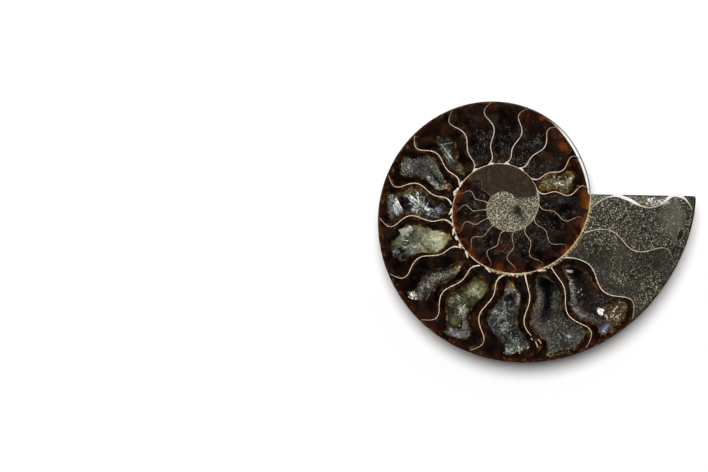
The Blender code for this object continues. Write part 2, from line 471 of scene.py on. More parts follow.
class Recipe:
    """A node material under construction.  Its inputs take sockets, numbers or hex colours."""

    def __init__(self, name: str) -> None:
        """Start an empty material with a Principled surface."""
        self.material = bpy.data.materials.new(name)
        self.material.use_nodes = True
        self.tree = self.material.node_tree
        self.surface = self.tree.nodes["Principled BSDF"]
        self.place = self.add("TexCoord", {}, out="Object")

    def add(self, kind: str, inputs: dict, out: int | str = 0, stops: tuple = (),
            **settings: object) -> Socket:
        """Add a node with its settings and links.

        Args:
            kind: the node's type, without its ShaderNode prefix.
            inputs: sockets by name or number, each a plain value or a socket to link from.
            out: the output to return.
            stops: positions and hex colours of a colour ramp.
            settings: properties of the node.

        Returns:
            The chosen output socket.
        """
        node = self.tree.nodes.new("ShaderNode" + kind)
        for key, value in settings.items():
            setattr(node, key, value)
        for number, (position, hex_code) in enumerate(stops):
            elements = node.color_ramp.elements
            element = elements[number] if number < 2 else elements.new(position)
            element.position = position
            element.color = colour(hex_code)
        self.link(node, inputs)
        return node.outputs[out]

    def link(self, node: bpy.types.Node, inputs: dict) -> None:
        """Set or link a node's inputs.

        Args:
            node: the node.
            inputs: by name or number, sockets, numbers or hex colours.
        """
        for key, value in inputs.items():
            if isinstance(value, Socket):
                self.tree.links.new(value, node.inputs[key])
            else:
                plain = colour(value) if isinstance(value, str) else value
                node.inputs[key].default_value = plain

    def noise(self, size: float, detail: float = 4.0, roughness: float = 0.6,
              distortion: float = 0.0) -> Socket:
        """Noise whose features are the given size in millimetres."""
        return self.add("TexNoise", {"Vector": self.place, "Scale": per_mm(size), "Detail": detail,
                                     "Roughness": roughness, "Distortion": distortion})

    def value(self, name: str, out: str = "Fac") -> Socket:
        """A number, or a colour, stored on the piece."""
        return self.add("Attribute", {}, out=out, attribute_name=name)

    def ramp(self, value: Socket, *stops: tuple[float, str]) -> Socket:
        """Colours along a value, from the lowest stop to the highest."""
        return self.add("ValToRGB", {"Fac": value}, stops=(stops[0], stops[-1], *stops[1:-1]))

    def fit(self, value: Socket, low: float, high: float, start: float = 0.0,
            end: float = 1.0) -> Socket:
        """Smooth step of a value between two limits, from start to end."""
        return self.add("MapRange", {"Value": value, "From Min": low, "From Max": high,
                                     "To Min": start, "To Max": end},
                        interpolation_type="SMOOTHSTEP")

    def maths(self, operation: str, *values: Socket | float) -> Socket:
        """One sum on values."""
        return self.add("Math", dict(enumerate(values)), operation=operation)

    def times(self, first: Socket, second: Socket | float, plus: Socket | float = 0.0) -> Socket:
        """Product of two values, plus a third."""
        return self.maths("MULTIPLY_ADD", first, second, plus)

    def over(self, share: Socket | float, below: Socket | str, above: Socket | str) -> Socket:
        """One colour laid over another by a share."""
        return self.add("Mix", {0: share, 6: below, 7: above}, out=2, data_type="RGBA")

    def shade(self, tint: Socket, factor: Socket) -> Socket:
        """A colour made lighter or darker by a factor."""
        return self.add("VectorMath", {0: tint, 3: factor}, operation="SCALE")

    def specks(self, size: float, rarity: float, low: float, high: float) -> Socket:
        """Round specks in cells of a size, where a cell's random value passes the rarity.

        Args:
            size: of a cell, in millimetres.
            rarity: from 0 for all cells to 1 for none.
            low: distance from the middle at which a speck starts to fade.
            high: distance at which it ends.

        Returns:
            How much of a speck there is.
        """
        inputs = {"Vector": self.place, "Scale": per_mm(size), "Randomness": 1.0}
        distance = self.add("TexVoronoi", inputs)
        random_value = self.add("TexVoronoi", inputs, out="Color")
        lucky = self.maths("GREATER_THAN", random_value, rarity)
        return self.times(lucky, self.fit(distance, low, high, 1.0, 0.0))

    def bump(self, height: Socket, strength: float, millimetres: float) -> Socket:
        """Relief of a given height."""
        return self.add("Bump", {"Height": height, "Strength": strength,
                                 "Distance": millimetres * MM})

    def finish(self, **inputs: object) -> Material:
        """Set the surface's inputs, named with underscores, and return the material."""
        self.link(self.surface, {key.replace("_", " "): value for key, value in inputs.items()})
        return self.material


@dataclass(frozen=True)
class PolishedCalcite:
    """Brown calcite that fills the chambers, sawn and polished.

    Near black where it is deep and clear, with a grey dust of cleavage; mottled amber where it
    grew on the shell's walls, red-brown to gold along the rim and around the hollows.
    """

    name: str = "polished_calcite"

    def make(self) -> Material:
        """Build the material from noise and the distances stored on the piece.

        Returns:
            The material.
        """
        mix = Recipe(self.name)
        cloud = mix.noise(6.0, 6.0, 0.65, 0.8)
        grain = mix.noise(1.9, 4.0, 0.65, 0.4)
        fine = mix.noise(0.55, 2.0, 0.8)
        wall, mouth = mix.value("wall_gap"), mix.value("mouth_gap")
        tint = mix.ramp(cloud, (0.38, "#020101"), (0.48, "#0a0504"), (0.56, "#190d08"),
                        (0.68, "#331b0d"))

        # Grey smoke and dust of cleavage in the dark.
        drift = mix.times(mix.noise(3.0, 5.0, 0.7), mix.value("specks"))
        smoke = mix.times(mix.fit(mix.noise(4.6, 5.0, 0.62, 0.6), 0.47, 0.66, 0.0, 0.7),
                          mix.value("specks"))
        tint = mix.over(smoke, tint, "#2b2b28")
        dust = mix.times(mix.fit(fine, 0.48, 0.64), mix.fit(drift, 0.27, 0.56, 0.0, 0.75))
        powder = mix.ramp(grain, (0.4, "#27231f"), (0.5, "#48433b"), (0.62, "#8f897c"))
        tint = mix.over(dust, tint, powder)

        # Mottled brown to dull gold on the walls.
        ragged = mix.times(grain, 4.0, wall)
        fringe = mix.times(mix.fit(ragged, 1.9, 3.7, 0.9, 0.0), mix.value("fringe"))
        amber = mix.ramp(mix.noise(1.7, 4.0, 0.6, 0.5), (0.36, "#0c0503"), (0.47, "#261108"),
                         (0.57, "#452810"), (0.68, "#78602f"))
        tint = mix.over(fringe, tint, amber)

        # Red-brown to golden glow where the calcite lies against the outer wall.
        blotches = mix.fit(mix.noise(5.0, 5.0, 0.6, 0.4), 0.34, 0.66, 0.15, 1.5)
        glow = mix.times(mix.value("warmth"), blotches)
        rust = mix.ramp(glow, (0.05, "#1f0c06"), (0.35, "#3f190b"), (0.7, "#633313"),
                        (1.15, "#a07a30"))
        tint = mix.over(mix.fit(glow, 0.0, 0.7, 0.0, 0.92), tint, rust)

        # A dark rim around each hollow, and a broken golden border at its edge.
        tint = mix.shade(tint, mix.fit(mouth, 0.3, 1.7, 0.35, 1.0))
        broken = mix.fit(mix.times(grain, 3.0, mouth), 1.3, 3.1, 1.0, 0.0)
        border = mix.times(broken, mix.value("lit"))
        gold = mix.ramp(mix.noise(2.2, 3.0, 0.6), (0.36, "#1f0f07"), (0.5, "#422810"),
                        (0.66, "#7d6636"))
        tint = mix.over(mix.fit(border, 0.1, 0.8), tint, gold)

        # Painted shade: black in the open gaps between the feet of the septa and the inner wall,
        # for the gaps' depth.
        gap = mix.fit(mix.times(mix.value("void_shade"), grain), 0.2, 0.3)
        tint = mix.over(gap, tint, "#030304")
        return mix.finish(Base_Color=tint, Roughness=0.15, IOR=1.55, Coat_Weight=0.3,
                          Coat_Roughness=0.03, Normal=mix.bump(grain, 0.04, 0.12))


@dataclass(frozen=True)
class ShellCalcite:
    """Shell wall turned to pale calcite: cream and waxy, dull and tan where it thins out, and near
    white where a painted highlight lies on it.
    """

    name: str = "shell_calcite"
    pale: str = "#efe3d2"
    warm: str = "#c9b095"
    dull: str = "#5d4b3a"
    painted_highlight: str = "#f6f4f0"

    def make(self) -> Material:
        """Build the material from fine mottling and the piece's own fade.

        Returns:
            The material.
        """
        mix = Recipe(self.name)
        base = mix.ramp(mix.noise(1.2, 5.0, 0.7), (0.38, self.warm), (0.54, self.pale))
        fade = mix.value("fade")
        tint = mix.over(mix.fit(fade, 0.0, 1.0), base, self.dull)
        # Painted highlight: a fade below zero turns the shell near white, on the first septum's
        # polished crests.
        tint = mix.over(mix.fit(fade, -0.1, -1.0), tint, self.painted_highlight)
        return mix.finish(Base_Color=tint, Roughness=0.3, IOR=1.55, Coat_Weight=0.2)


@dataclass(frozen=True)
class Mudstone:
    """Hardened mud with grains of pyrite and calcite, polished to a dull gloss.

    Its tints are those of the dark, the middle, the grains, the bright grains, the calm places
    and the stains.
    """

    name: str
    tints: str
    grain_size: float = 0.58
    patch_size: float = 7.0
    spark_size: float = 0.68
    quiet: float = 1.0

    def make(self) -> Material:
        """Build the material from sharp noise for the grains and broad noise for the patches.

        Returns:
            The material.
        """
        mix = Recipe(self.name)
        dark, middle, grains, bright, calm, stain = self.tints.split()
        cloud = mix.noise(self.patch_size, 5.0, 0.6, 0.8)
        fine = mix.noise(self.grain_size, 2.0, 0.85)
        tint = mix.ramp(fine, (0.43, dark), (0.51, middle), (0.59, grains), (0.70, bright))
        smooth = mix.fit(mix.times(cloud, 5.0, mix.value("calm")), 2.6, 3.7, 0.0, self.quiet)
        tint = mix.over(smooth, tint, mix.over(mix.fit(fine, 0.38, 0.64, 0.0, 0.5), calm, tint))
        stained = mix.fit(mix.noise(0.5 * self.patch_size, 4.0, 0.6, 0.5), 0.46, 0.64, 0.0, 0.45)
        tint = mix.over(stained, tint, mix.over(mix.fit(fine, 0.4, 0.6), "#050403", stain))
        loose = mix.fit(smooth, 0.0, 0.6, 0.85, 0.25)
        spark = mix.times(mix.specks(self.spark_size, 0.5, 0.1, 0.38), loose)
        tint = mix.over(spark, tint, bright)
        pit = mix.times(mix.specks(1.4 * self.spark_size, 0.82, 0.12, 0.36), loose)
        tint = mix.over(pit, tint, dark)
        tint = mix.shade(tint, mix.fit(mix.value("tone"), -1.0, 1.0, 0.1, 1.9))
        return mix.finish(Base_Color=tint, Roughness=0.3, IOR=1.5, Coat_Weight=0.15,
                          Coat_Roughness=0.1, Normal=mix.bump(fine, 0.15, 0.1))


@dataclass(frozen=True)
class Crystals:
    """Calcite crystals, with painted light and shade: a factor on each vertex makes them lighter
    where they stand clear and darker in the gaps between them.
    """

    name: str = "druse_calcite"
    roughness: float = 0.3
    blotch: float = 0.9
    contrast: float = 3.2

    def make(self) -> Material:
        """Build the material from the tint and the painted light and shade stored on the piece.

        Returns:
            The material.
        """
        mix = Recipe(self.name)
        tint = mix.value("tint", "Color")
        mottle = mix.noise(self.blotch, 5.0, 0.75)
        level = mix.times(mottle, self.contrast, 1.0 - 0.5 * self.contrast)
        level = mix.maths("MAXIMUM", level, 0.15)
        # Painted light and shade: the stored factor scales each crystal's colour up or down.
        tint = mix.shade(tint, mix.times(level, mix.value("shine")))
        return mix.finish(Base_Color=tint, Roughness=self.roughness, IOR=1.5,
                          Specular_IOR_Level=0.35)


@dataclass(frozen=True)
class OuterShell:
    """Outside of the fossil shell: tan and brown nacre crossed by frilled suture lines."""

    name: str = "outer_shell"

    def make(self) -> Material:
        """Build the material from mottling, growth lines and the frilled edges of the septa.

        Returns:
            The material.
        """
        mix = Recipe(self.name)
        mottle = mix.noise(8.0, 6.0, 0.62, 0.2)
        fine = mix.noise(0.8, 3.0)
        base = mix.ramp(mottle, (0.32, "#23130b"), (0.45, "#472613"), (0.56, "#6b4120"),
                        (0.7, "#94713f"))
        nacre = mix.ramp(mix.noise(13.0, 3.0, 0.5), (0.4, "#5a2a18"), (0.52, "#5f4424"),
                         (0.64, "#525a35"))
        base = mix.over(0.45, base, nacre)

        # Growth lines that follow the ribs, and the frilled edges of the septa under the shell.
        along = mix.value("suture")
        growth = mix.add("TexNoise", {"W": mix.times(along, 40.0), "Detail": 3.0,
                                      "Roughness": 0.6}, noise_dimensions="1D")
        base = mix.shade(base, mix.fit(growth, 0.3, 0.7, 0.62, 1.3))
        moved = mix.times(mix.noise(3.6, 3.0, 0.55), 1.3, along)
        cycle = mix.maths("PINGPONG", moved, 0.5)
        tint = mix.over(mix.fit(cycle, 0.03, 0.08, 0.8, 0.0), base, "#140a06")
        rim = mix.value("rim")
        band = mix.ramp(mix.noise(2.0, 5.0, 0.7), (0.42, "#0a0504"), (0.53, "#241009"),
                        (0.64, "#64401c"))
        tint = mix.over(rim, tint, band)
        # Painted highlight: a near-white band on the bevelled rim beside the mouth's notch, where
        # the polished edge would catch the light.
        tint = mix.over(mix.value("bevel_highlight"), tint, "#f4f1ec")
        tint = mix.over(mix.value("sawn"), tint, "#171c12")
        return mix.finish(Base_Color=tint, Roughness=mix.fit(rim, 0.0, 1.0, 0.42, 0.9), IOR=1.5,
                          Normal=mix.bump(fine, 0.12, 0.2))


# -------- The open hollows --------

class Habit(Enum):
    """Shape of the crystals in a hollow: width, length and height, and the number of sides."""

    GRAINS = (0.5, 0.5, 0.6, 5)
    DOGTOOTH = (0.40, 0.40, 1.0, 6)
    RHOMBS = (0.6, 0.5, 0.28, 4)


@dataclass(frozen=True)
class Place:
    """A place in a chamber that differs from what lies around it, and its half sizes.

    All are in hundredths: the share runs from the inner wall to the outer wall, and across from
    the septum nearer the mouth to the next one.
    """

    share: float
    across: float
    half_share: float
    half_across: float

    def weight(self, across: Array, share: Array) -> Array:
        """Flat-topped bell: the exponential of minus the squared distance, squared again."""
        distance = (((share - self.share / 100) / (self.half_share / 100)) ** 2
                    + ((across - self.across / 100) / (self.half_across / 100)) ** 2)
        return np.exp(-distance ** 2)


@dataclass(frozen=True)
class Patch(Place):
    """A place of a hollow with crystals of its own: tint, rise in millimetres, size, bareness."""

    tint: str
    rise: float = 0.0
    size: float = 1.0
    bare: float = 0.0


@dataclass(frozen=True)
class Spray:
    """Long crystals that lie in a hollow, outwards from a place in given plan directions.

    The place is in hundredths of the chamber, directions in degrees, sizes in millimetres.
    """

    share: float
    across: float
    headings: tuple[float, ...]
    length: float
    width: float
    tint: str
    count: int = 3
    scatter: float = 0.4
    stray: float = 9.0
    height: float = 0.0


@dataclass(frozen=True)
class Hollow:
    """An open chamber, in the chamber's own coordinates, and the crystals that line it.

    Reach is the share of the way outwards at which it begins and ends; its near and far sides are
    shares of the way across, at its inner end, middle and outer end.  Lit gives the middle and
    half width in degrees, and the strength, of each golden part of its border.
    """

    chamber: int
    reach: tuple[float, float]
    near_side: tuple[float, float, float]
    far_side: tuple[float, float, float]
    depth: float
    habit: Habit
    tint: str
    count: int
    size: tuple[float, float]
    patches: tuple[Patch, ...] = ()
    sprays: tuple[Spray, ...] = ()
    lit: tuple[tuple[float, float, float], ...] = ()
    knobs: tuple[Patch, ...] = ()
    ragged: float = 0.05
    squareness: float = 2.0 / 2.6

    def sides(self, share: Array) -> tuple[Array, Array]:
        """Near and far side at a share: parabolas through their three values.

        Args:
            share: shares of the way outwards.

        Returns:
            Shares of the way across.
        """
        inner, outer = self.reach
        blend = limited((share - inner) / (outer - inner))
        weights = ((2 * blend - 1) * (blend - 1), 4 * blend * (1 - blend), blend * (2 * blend - 1))
        return tuple(sum(value * weight for value, weight in zip(values, weights))
                     for values in (self.near_side, self.far_side))

    def outline(self, turn: Array, scale: Array | float = 1.0) -> tuple[Array, Array]:
        """Chamber coordinates of a squared oval with a slightly uneven edge.

        Args:
            turn: radians around the oval, from the far side by way of the outer end.
            scale: size of the ring, 1 at the mouth of the hollow.

        Returns:
            Shares of the way across and outwards.
        """
        waves = ((3, 1.0), (5, 0.8), (9, 0.6), (14, 0.5), (23, 0.45), (37, 0.35))
        uneven = sum(height * np.sin(count * turn + count * self.chamber)
                     for count, height in waves)
        size = scale * (1.0 + self.ragged * 0.5 * uneven)
        sideways, outwards = (np.sign(part) * abs(part) ** self.squareness * size
                              for part in (np.cos(turn), np.sin(turn)))
        inner, outer = self.reach
        share = (inner + outer) / 2 + (outer - inner) / 2 * outwards
        near, far = self.sides(share)
        return (near + far) / 2 + (far - near) / 2 * sideways, share

    def direction(self, across: Array, share: Array) -> Array:
        """Turn of the outline that faces a point of the chamber's edge.

        Args:
            across: shares of the way across.
            share: shares of the way outwards.

        Returns:
            Radians, as outline takes them.
        """
        parts = []
        for value, (low, high) in ((share, self.reach), (across, self.sides(share))):
            part = (value - (low + high) / 2) / ((high - low) / 2)
            parts.append(np.sign(part) * abs(part) ** (1.0 / self.squareness))
        return np.arctan2(*parts)

    def depth_at(self, across: Array, share: Array, scale: Array) -> Array:
        """Depth of the bowl: a superellipse in scale, changed by the patches' rise.

        Args:
            across: shares of the way across.
            share: shares of the way outwards.
            scale: size of the ring through each point.

        Returns:
            Millimetres below the face.
        """
        depth = self.depth * 0.6 * np.ones_like(share)
        for patch in self.patches:
            depth = depth - patch.rise * patch.weight(across, share)
        return np.clip(depth, 0.5, 3.8) * (1.0 - limited(scale) ** 3.5) ** 0.55

    def brightness(self, turn: Array) -> Array:
        """How golden the hollow's border is, turn by turn.

        Args:
            turn: radians around the hollow.

        Returns:
            Half, and a bell for each lit part.
        """
        total = np.full_like(turn, 0.5)
        for middle, half, amount in self.lit:
            away = np.mod(np.degrees(turn) - middle + 180.0, FULL_TURN) - 180.0
            total = total + amount * bell(away, 0.0, half, 4)
        return total


def patches(*rows: tuple) -> tuple[Patch, ...]:
    """Patches from rows of their values."""
    return tuple(Patch(*row) for row in rows)


def sprays(*rows: tuple) -> tuple[Spray, ...]:
    """Sprays from rows of their values."""
    return tuple(Spray(*row) for row in rows)


SIX_WAYS = (20, 80, 140, 200, 260, 320)

# In each hollow, the patches with near-black or very dark tints and a negative rise are painted
# shade: they darken the deepest parts, where the cavity runs on below.
HOLLOWS = (
    Hollow(2, (0.12, 0.97), (0.20, 0.08, 0.07), (0.84, 0.86, 0.90), 6.0, Habit.DOGTOOTH, "#44382e",
        2900, (0.32, 0.85),
        patches((23, 45, 9, 22, "#040303", -3.0, 0.7, 0.5), (43, 42, 14, 18, "#262723", -1.6, 0.8),
                (42, 12, 16, 10, "#6a482b", 0.6, 0.7), (58, 20, 6, 12, "#55484e", 0.6, 0.8),
                (30, 78, 20, 9, "#a8a299", 1.6, 0.6), (60, 76, 16, 9, "#8a857c", 1.2, 0.6),
                (70, 60, 4, 6, "#070504", -1.0, 0.7, 0.6), (84, 35, 13, 28, "#8a7354", 1.6),
                (89, 72, 5.5, 12, "#8f93ab", 1.8), (97, 30, 3, 16, "#967336", 1.6, 0.8)),
        sprays((71.5, 50, (15, 130, -40, 200), 1.5, 1.1, "#f8f7f4", 3, 0.25, 9.0, 1.3),
               (78, 56, (-80, -60), 1.6, 0.5, "#c4b9a4", 3, 0.4, 9.0, 0.8),
               (43, 52, (40, 160, 280), 0.8, 0.4, "#eceae6", 2, 0.6, 9.0, 0.5),
               (84, 32, (20, 95, 170, 250), 0.9, 0.5, "#e6d6c0", 7, 2.4, 30.0, 0.9),
               (12.5, 68, (-3,), 4.0, 0.5, "#efece4", 2, 0.12, 2.0, 3.0),
               (63, 90, (-12,), 2.6, 0.4, "#cfccc4", 2, 0.12, 4.0, 3.0)),
        ((-90, 38, 0.5), (24, 14, 0.6), (100, 30, 0.4))),
    Hollow(3, (0.08, 0.96), (0.22, 0.08, 0.04), (0.80, 0.82, 0.92), 6.5, Habit.GRAINS, "#59564d",
        4400, (0.34, 0.72),
        patches((35, 22, 20, 10, "#4c4c3f", 1.0), (38, 72, 24, 11, "#857870", 1.4),
                (48, 46, 9, 14, "#1c1a17", -0.6), (34, 47, 15, 15, "#080706", -2.2, 0.8, 0.3),
                (17, 40, 12, 34, "#030303", -3.5, 0.8, 0.5), (74, 50, 14, 40, "#5a574f", 1.6),
                (87, 40, 6, 50, "#625e54", 1.9), (96.5, 40, 3, 50, "#b0a593", 2.3)),
        (),
        ((90, 80, 0.3), (-90, 45, 0.3), (0, 40, 0.5)), ragged=0.03, squareness=0.62),
    Hollow(4, (0.12, 0.93), (0.26, 0.19, 0.12), (0.74, 0.80, 0.60), 4.5, Habit.DOGTOOTH, "#4c4d47",
        1700, (0.35, 0.85),
        patches((12, 44, 7, 17, "#9a8748", 1.6, 0.8), (19, 56, 4, 17, "#c9bcb6", 2.2, 0.45, 0.6),
                (29, 30, 7, 6, "#b5afa3", 1.8, 0.6), (28, 50, 6, 13, "#1d1b19", -1.0, 0.8),
                (45, 72, 7, 8, "#a4a8aa", 0.8, 0.9), (64, 76, 8, 7, "#6d7883", 0.8, 0.9),
                (70, 36, 5, 12, "#31302c", -0.8, 0.8), (88, 34, 6, 30, "#9da092", 1.4, 1.2),
                (85, 16, 3, 6, "#e0d7ac", 1.8, 1.2)),
        sprays((44, 48, SIX_WAYS, 1.9, 0.2, "#9fa19b", 8, 1.8, 25.0, 0.9),
               (62, 46, SIX_WAYS, 1.8, 0.2, "#a9aba3", 9, 2.0, 25.0, 0.9),
               (80, 38, (30, 100, 190, 290), 1.6, 0.2, "#a9aba3", 10, 1.7, 25.0, 0.9),
               (19, 66, (-8,), 3.0, 1.3, "#c0b3ad", 1, 0.05, 1.0, 3.0),
               (20, 69, (58,), 1.7, 0.35, "#f2eee8", 1, 0.05, 1.0, 3.0),
               (20, 36, (-55,), 3.0, 0.3, "#d6d2c6", 2, 0.15, 3.0, 3.0)),
        ((-90, 40, 0.6), (180, 40, 0.4)), ragged=0.10),
    Hollow(5, (0.14, 0.92), (0.14, 0.24, 0.16), (0.82, 0.78, 0.86), 3.5, Habit.RHOMBS, "#3a3a26",
        900, (0.6, 1.6),
        patches((28, 48, 13, 26, "#77764f", 0.8), (32, 52, 7, 13, "#9c9f7c", 1.1, 0.7),
                (49, 57, 6, 15, "#55583c", 0.3), (56, 78, 6, 10, "#929686", 0.6, 0.8),
                (58, 40, 5, 10, "#c3c6b3", 1.0, 0.8), (68, 80, 8, 9, "#20271a", -1.0, 1.2, 0.4),
                (66, 24, 14, 9, "#2c180d", 1.0, 0.6), (68, 37, 11, 5, "#8d8d86", 0.8, 0.5),
                (74, 60, 9, 18, "#14160d", -0.6, 0.8), (88, 45, 6, 38, "#8d8d87", 1.4, 0.45)),
        sprays((47, 72, (-46,), 3.4, 0.3, "#d8dac6", 3, 0.25, 6.0, 1.3),
               (57, 42, (60, 170, 265), 1.9, 0.4, "#cfd2c0", 3, 0.3, 12.0, 1.3),
               (29, 52, (25, 80, 140, 205, 260, 320), 2.0, 0.35, "#c3c9a6", 4, 0.6, 14.0, 1.1),
               (84, 45, (10, 70, 130, 250), 0.9, 0.35, "#b9b9b2", 6, 2.4, 30.0, 1.0)),
        ((-90, 50, 0.6), (0, 60, 0.6)), patches((73.5, 60, 10, 10, "#4e4f33", 1.6, 2.6))),
    Hollow(6, (0.15, 0.93), (0.22, 0.22, 0.50), (0.58, 0.60, 0.74), 2.6, Habit.GRAINS, "#4c453c",
        1700, (0.36, 0.72),
        patches((50, 37, 20, 9, "#8d867b", 0.4), (74, 52, 10, 7, "#8b847a", 0.4),
                (42, 60, 24, 9, "#1d140d", -0.4), (50, 18, 24, 6, "#241a12", -0.2),
                (78, 38, 10, 7, "#1f160f", -0.2), (22, 50, 6, 14, "#241b13", -0.5),
                (22, 32, 5, 10, "#a38a5e", 0.8), (88, 60, 5, 12, "#d3cfc3", 1.0, 1.5)),
        sprays((24, 30, (-100, -120), 1.6, 0.4, "#b39a6a", 3, 0.5, 10.0, 0.9)),
        ((-90, 50, 0.7), (180, 50, 0.4)), ragged=0.13),
    Hollow(7, (0.10, 0.88), (0.16, 0.08, 0.34), (0.68, 0.76, 0.80), 2.8, Habit.RHOMBS, "#5c5f49",
        520, (1.0, 2.7),
        patches((26, 42, 13, 28, "#abab8b", 0.7), (47, 22, 9, 10, "#8c7d72", 0.3),
                (80, 40, 12, 30, "#26281c", -0.2), (12, 32, 4, 20, "#8a7636", 0.5, 0.6),
                (33, 80, 8, 5, "#4a1f14", 0.2, 0.5), (42, 53, 7, 20, "#8f8d75", 0.3, 1.1),
                (62, 50, 7, 15, "#3b472d", -0.3, 0.9), (60, 72, 7, 10, "#a9aba0", 0.8, 0.8),
                (57, 26, 10, 11, "#94928a", 0.3, 0.8), (40, 16, 8, 8, "#7a7a40", 0.3, 0.8),
                (72, 60, 6, 12, "#838876", 0.6, 0.7), (80, 75, 8, 12, "#3f3a22", 0.2, 0.8),
                (76, 36, 9, 20, "#171b17", -0.9, 0.8)),
        sprays((50, 62, (-42,), 4.4, 0.3, "#d3d6c2", 2, 0.3, 5.0, 0.9),
               (36, 36, (58, -125), 3.4, 0.3, "#d9dcc4", 2, 0.4, 5.0, 0.9),
               (24, 40, (20, 75, 130, 200, 290), 2.6, 0.5, "#d6dcb6", 4, 0.9, 12.0, 0.9),
               (70, 55, (-15, 165), 2.6, 0.3, "#c9ccbc", 3, 0.4, 8.0, 0.9),
               (62, 72, (15, 60, 120), 1.4, 0.5, "#dcdfd2", 3, 0.7, 12.0, 0.9),
               (38, 48, (-40, 140, 50), 2.8, 0.16, "#2c301f", 1, 0.1, 4.0, 1.3),
               (60, 70, (40,), 1.6, 0.16, "#3a3c33", 1, 0.1, 4.0, 1.3)),
        ((-90, 60, 0.9), (0, 60, 0.3))),
    Hollow(8, (0.09, 0.92), (0.10, 0.06, 0.14), (0.78, 0.84, 0.86), 3.4, Habit.DOGTOOTH, "#2e2423",
        1300, (0.4, 1.1),
        patches((64, 82, 12, 8, "#8c8350", 0.8), (52, 70, 10, 10, "#5c5d50", 0.6),
                (55, 6, 12, 7, "#4a2a14", 0.4), (18, 43, 7, 16, "#77767f", 0.8),
                (30, 28, 12, 12, "#6f746c", 0.6), (70, 42, 5, 20, "#080707", -1.0),
                (86, 10, 5, 9, "#9a9a96", 1.0), (47, 40, 11, 24, "#6b6c66", 0.9),
                (83, 52, 5, 32, "#858a80", 1.2)),
        sprays((46, 38, (153, -30, 105, 236), 4.4, 0.75, "#dfe1dc", 5, 0.6, 11.0, 1.5),
               (47, 42, (60, 130, 180, 290, 340), 3.0, 0.4, "#a8ada4", 5, 1.0, 18.0, 1.1),
               (86, 78, (-60, -66, -72), 7.6, 0.26, "#dfe2de", 7, 0.6, 5.0, 1.5),
               (79, 50, (-62, -74), 3.6, 0.28, "#c9cdc8", 4, 0.5, 7.0, 1.5),
               (22, 34, (10, 80, 150, 260), 1.5, 0.3, "#c2c2ca", 4, 1.7, 20.0, 0.9),
               (62, 72, (0, 90, 180), 1.4, 0.5, "#b2b28c", 5, 1.2, 25.0, 0.9)),
        ((-90, 60, 0.5), (60, 60, 0.7), (180, 40, 0.4)), ragged=0.07),
    Hollow(9, (0.14, 0.90), (0.25, 0.21, 0.28), (0.65, 0.80, 0.80), 3.2, Habit.GRAINS, "#716e68",
        2500, (0.34, 0.70),
        patches((86, 24, 5, 9, "#d9d0b4", 1.4), (50, 84, 4, 7, "#120f0a", -1.0, 0.8),
                (60, 90, 7, 5, "#7c6f4c", 0.6, 0.8), (41, 70, 14, 10, "#777c66", 0.5),
                (34, 50, 17, 7, "#1c1e17", -0.8), (60, 26, 22, 5, "#2b2724", -0.4),
                (62, 48, 9, 16, "#48464a", 0.1), (15, 42, 3, 12, "#b98f54", 1.0, 0.8),
                (36, 30, 12, 7, "#a9a69c", 0.8), (80, 50, 7, 10, "#9b978f", 0.6)),
        (),
        ((-90, 50, 0.9), (180, 40, 0.5)), ragged=0.07),
    Hollow(10, (0.10, 0.72), (0.10, 0.12, 0.20), (0.48, 0.56, 0.64), 2.0, Habit.DOGTOOTH, "#443d30",
        520, (0.28, 0.62),
        patches((18, 38, 6, 12, "#8f8a62", 0.6), (62, 24, 6, 8, "#5f6459", 0.1),
                (42, 30, 14, 10, "#7d8076", 0.0)),
        sprays((64, 24, (-55,), 10.0, 2.2, "#8f9488", 1, 0.05, 1.0, 3.0),
               (62, 29, (-56,), 9.5, 0.8, "#cfccc1", 2, 0.1, 2.0, 3.0),
               (65, 20, (16,), 6.5, 0.9, "#c9c9bc", 1, 0.05, 2.0, 3.0)),
        ((0, 80, 0.3), (-90, 50, 0.5)), ragged=0.12),
    Hollow(15, (0.09, 0.79), (0.18, 0.08, 0.34), (0.84, 0.84, 0.72), 2.2, Habit.DOGTOOTH, "#5d4720",
        900, (0.35, 0.8),
        patches((26, 46, 14, 20, "#8f8866", 0.6), (46, 56, 12, 16, "#b7b095", 0.6),
                (64, 50, 10, 10, "#cfcab0", 0.9)),
        sprays((45, 42, (20, 80, 200, 300), 1.2, 0.35, "#ece7d2", 7, 2.0, 25.0, 0.6)),
        ((0, 360, 0.7),), ragged=0.08),
)


@dataclass(frozen=True)
class Growth:
    """Part of a crust: its solid, each vertex's colour and its factor of painted light and shade,
    and whether it is smooth.
    """

    solid: Solid
    tint: Array
    shine: Array
    smooth: bool = False


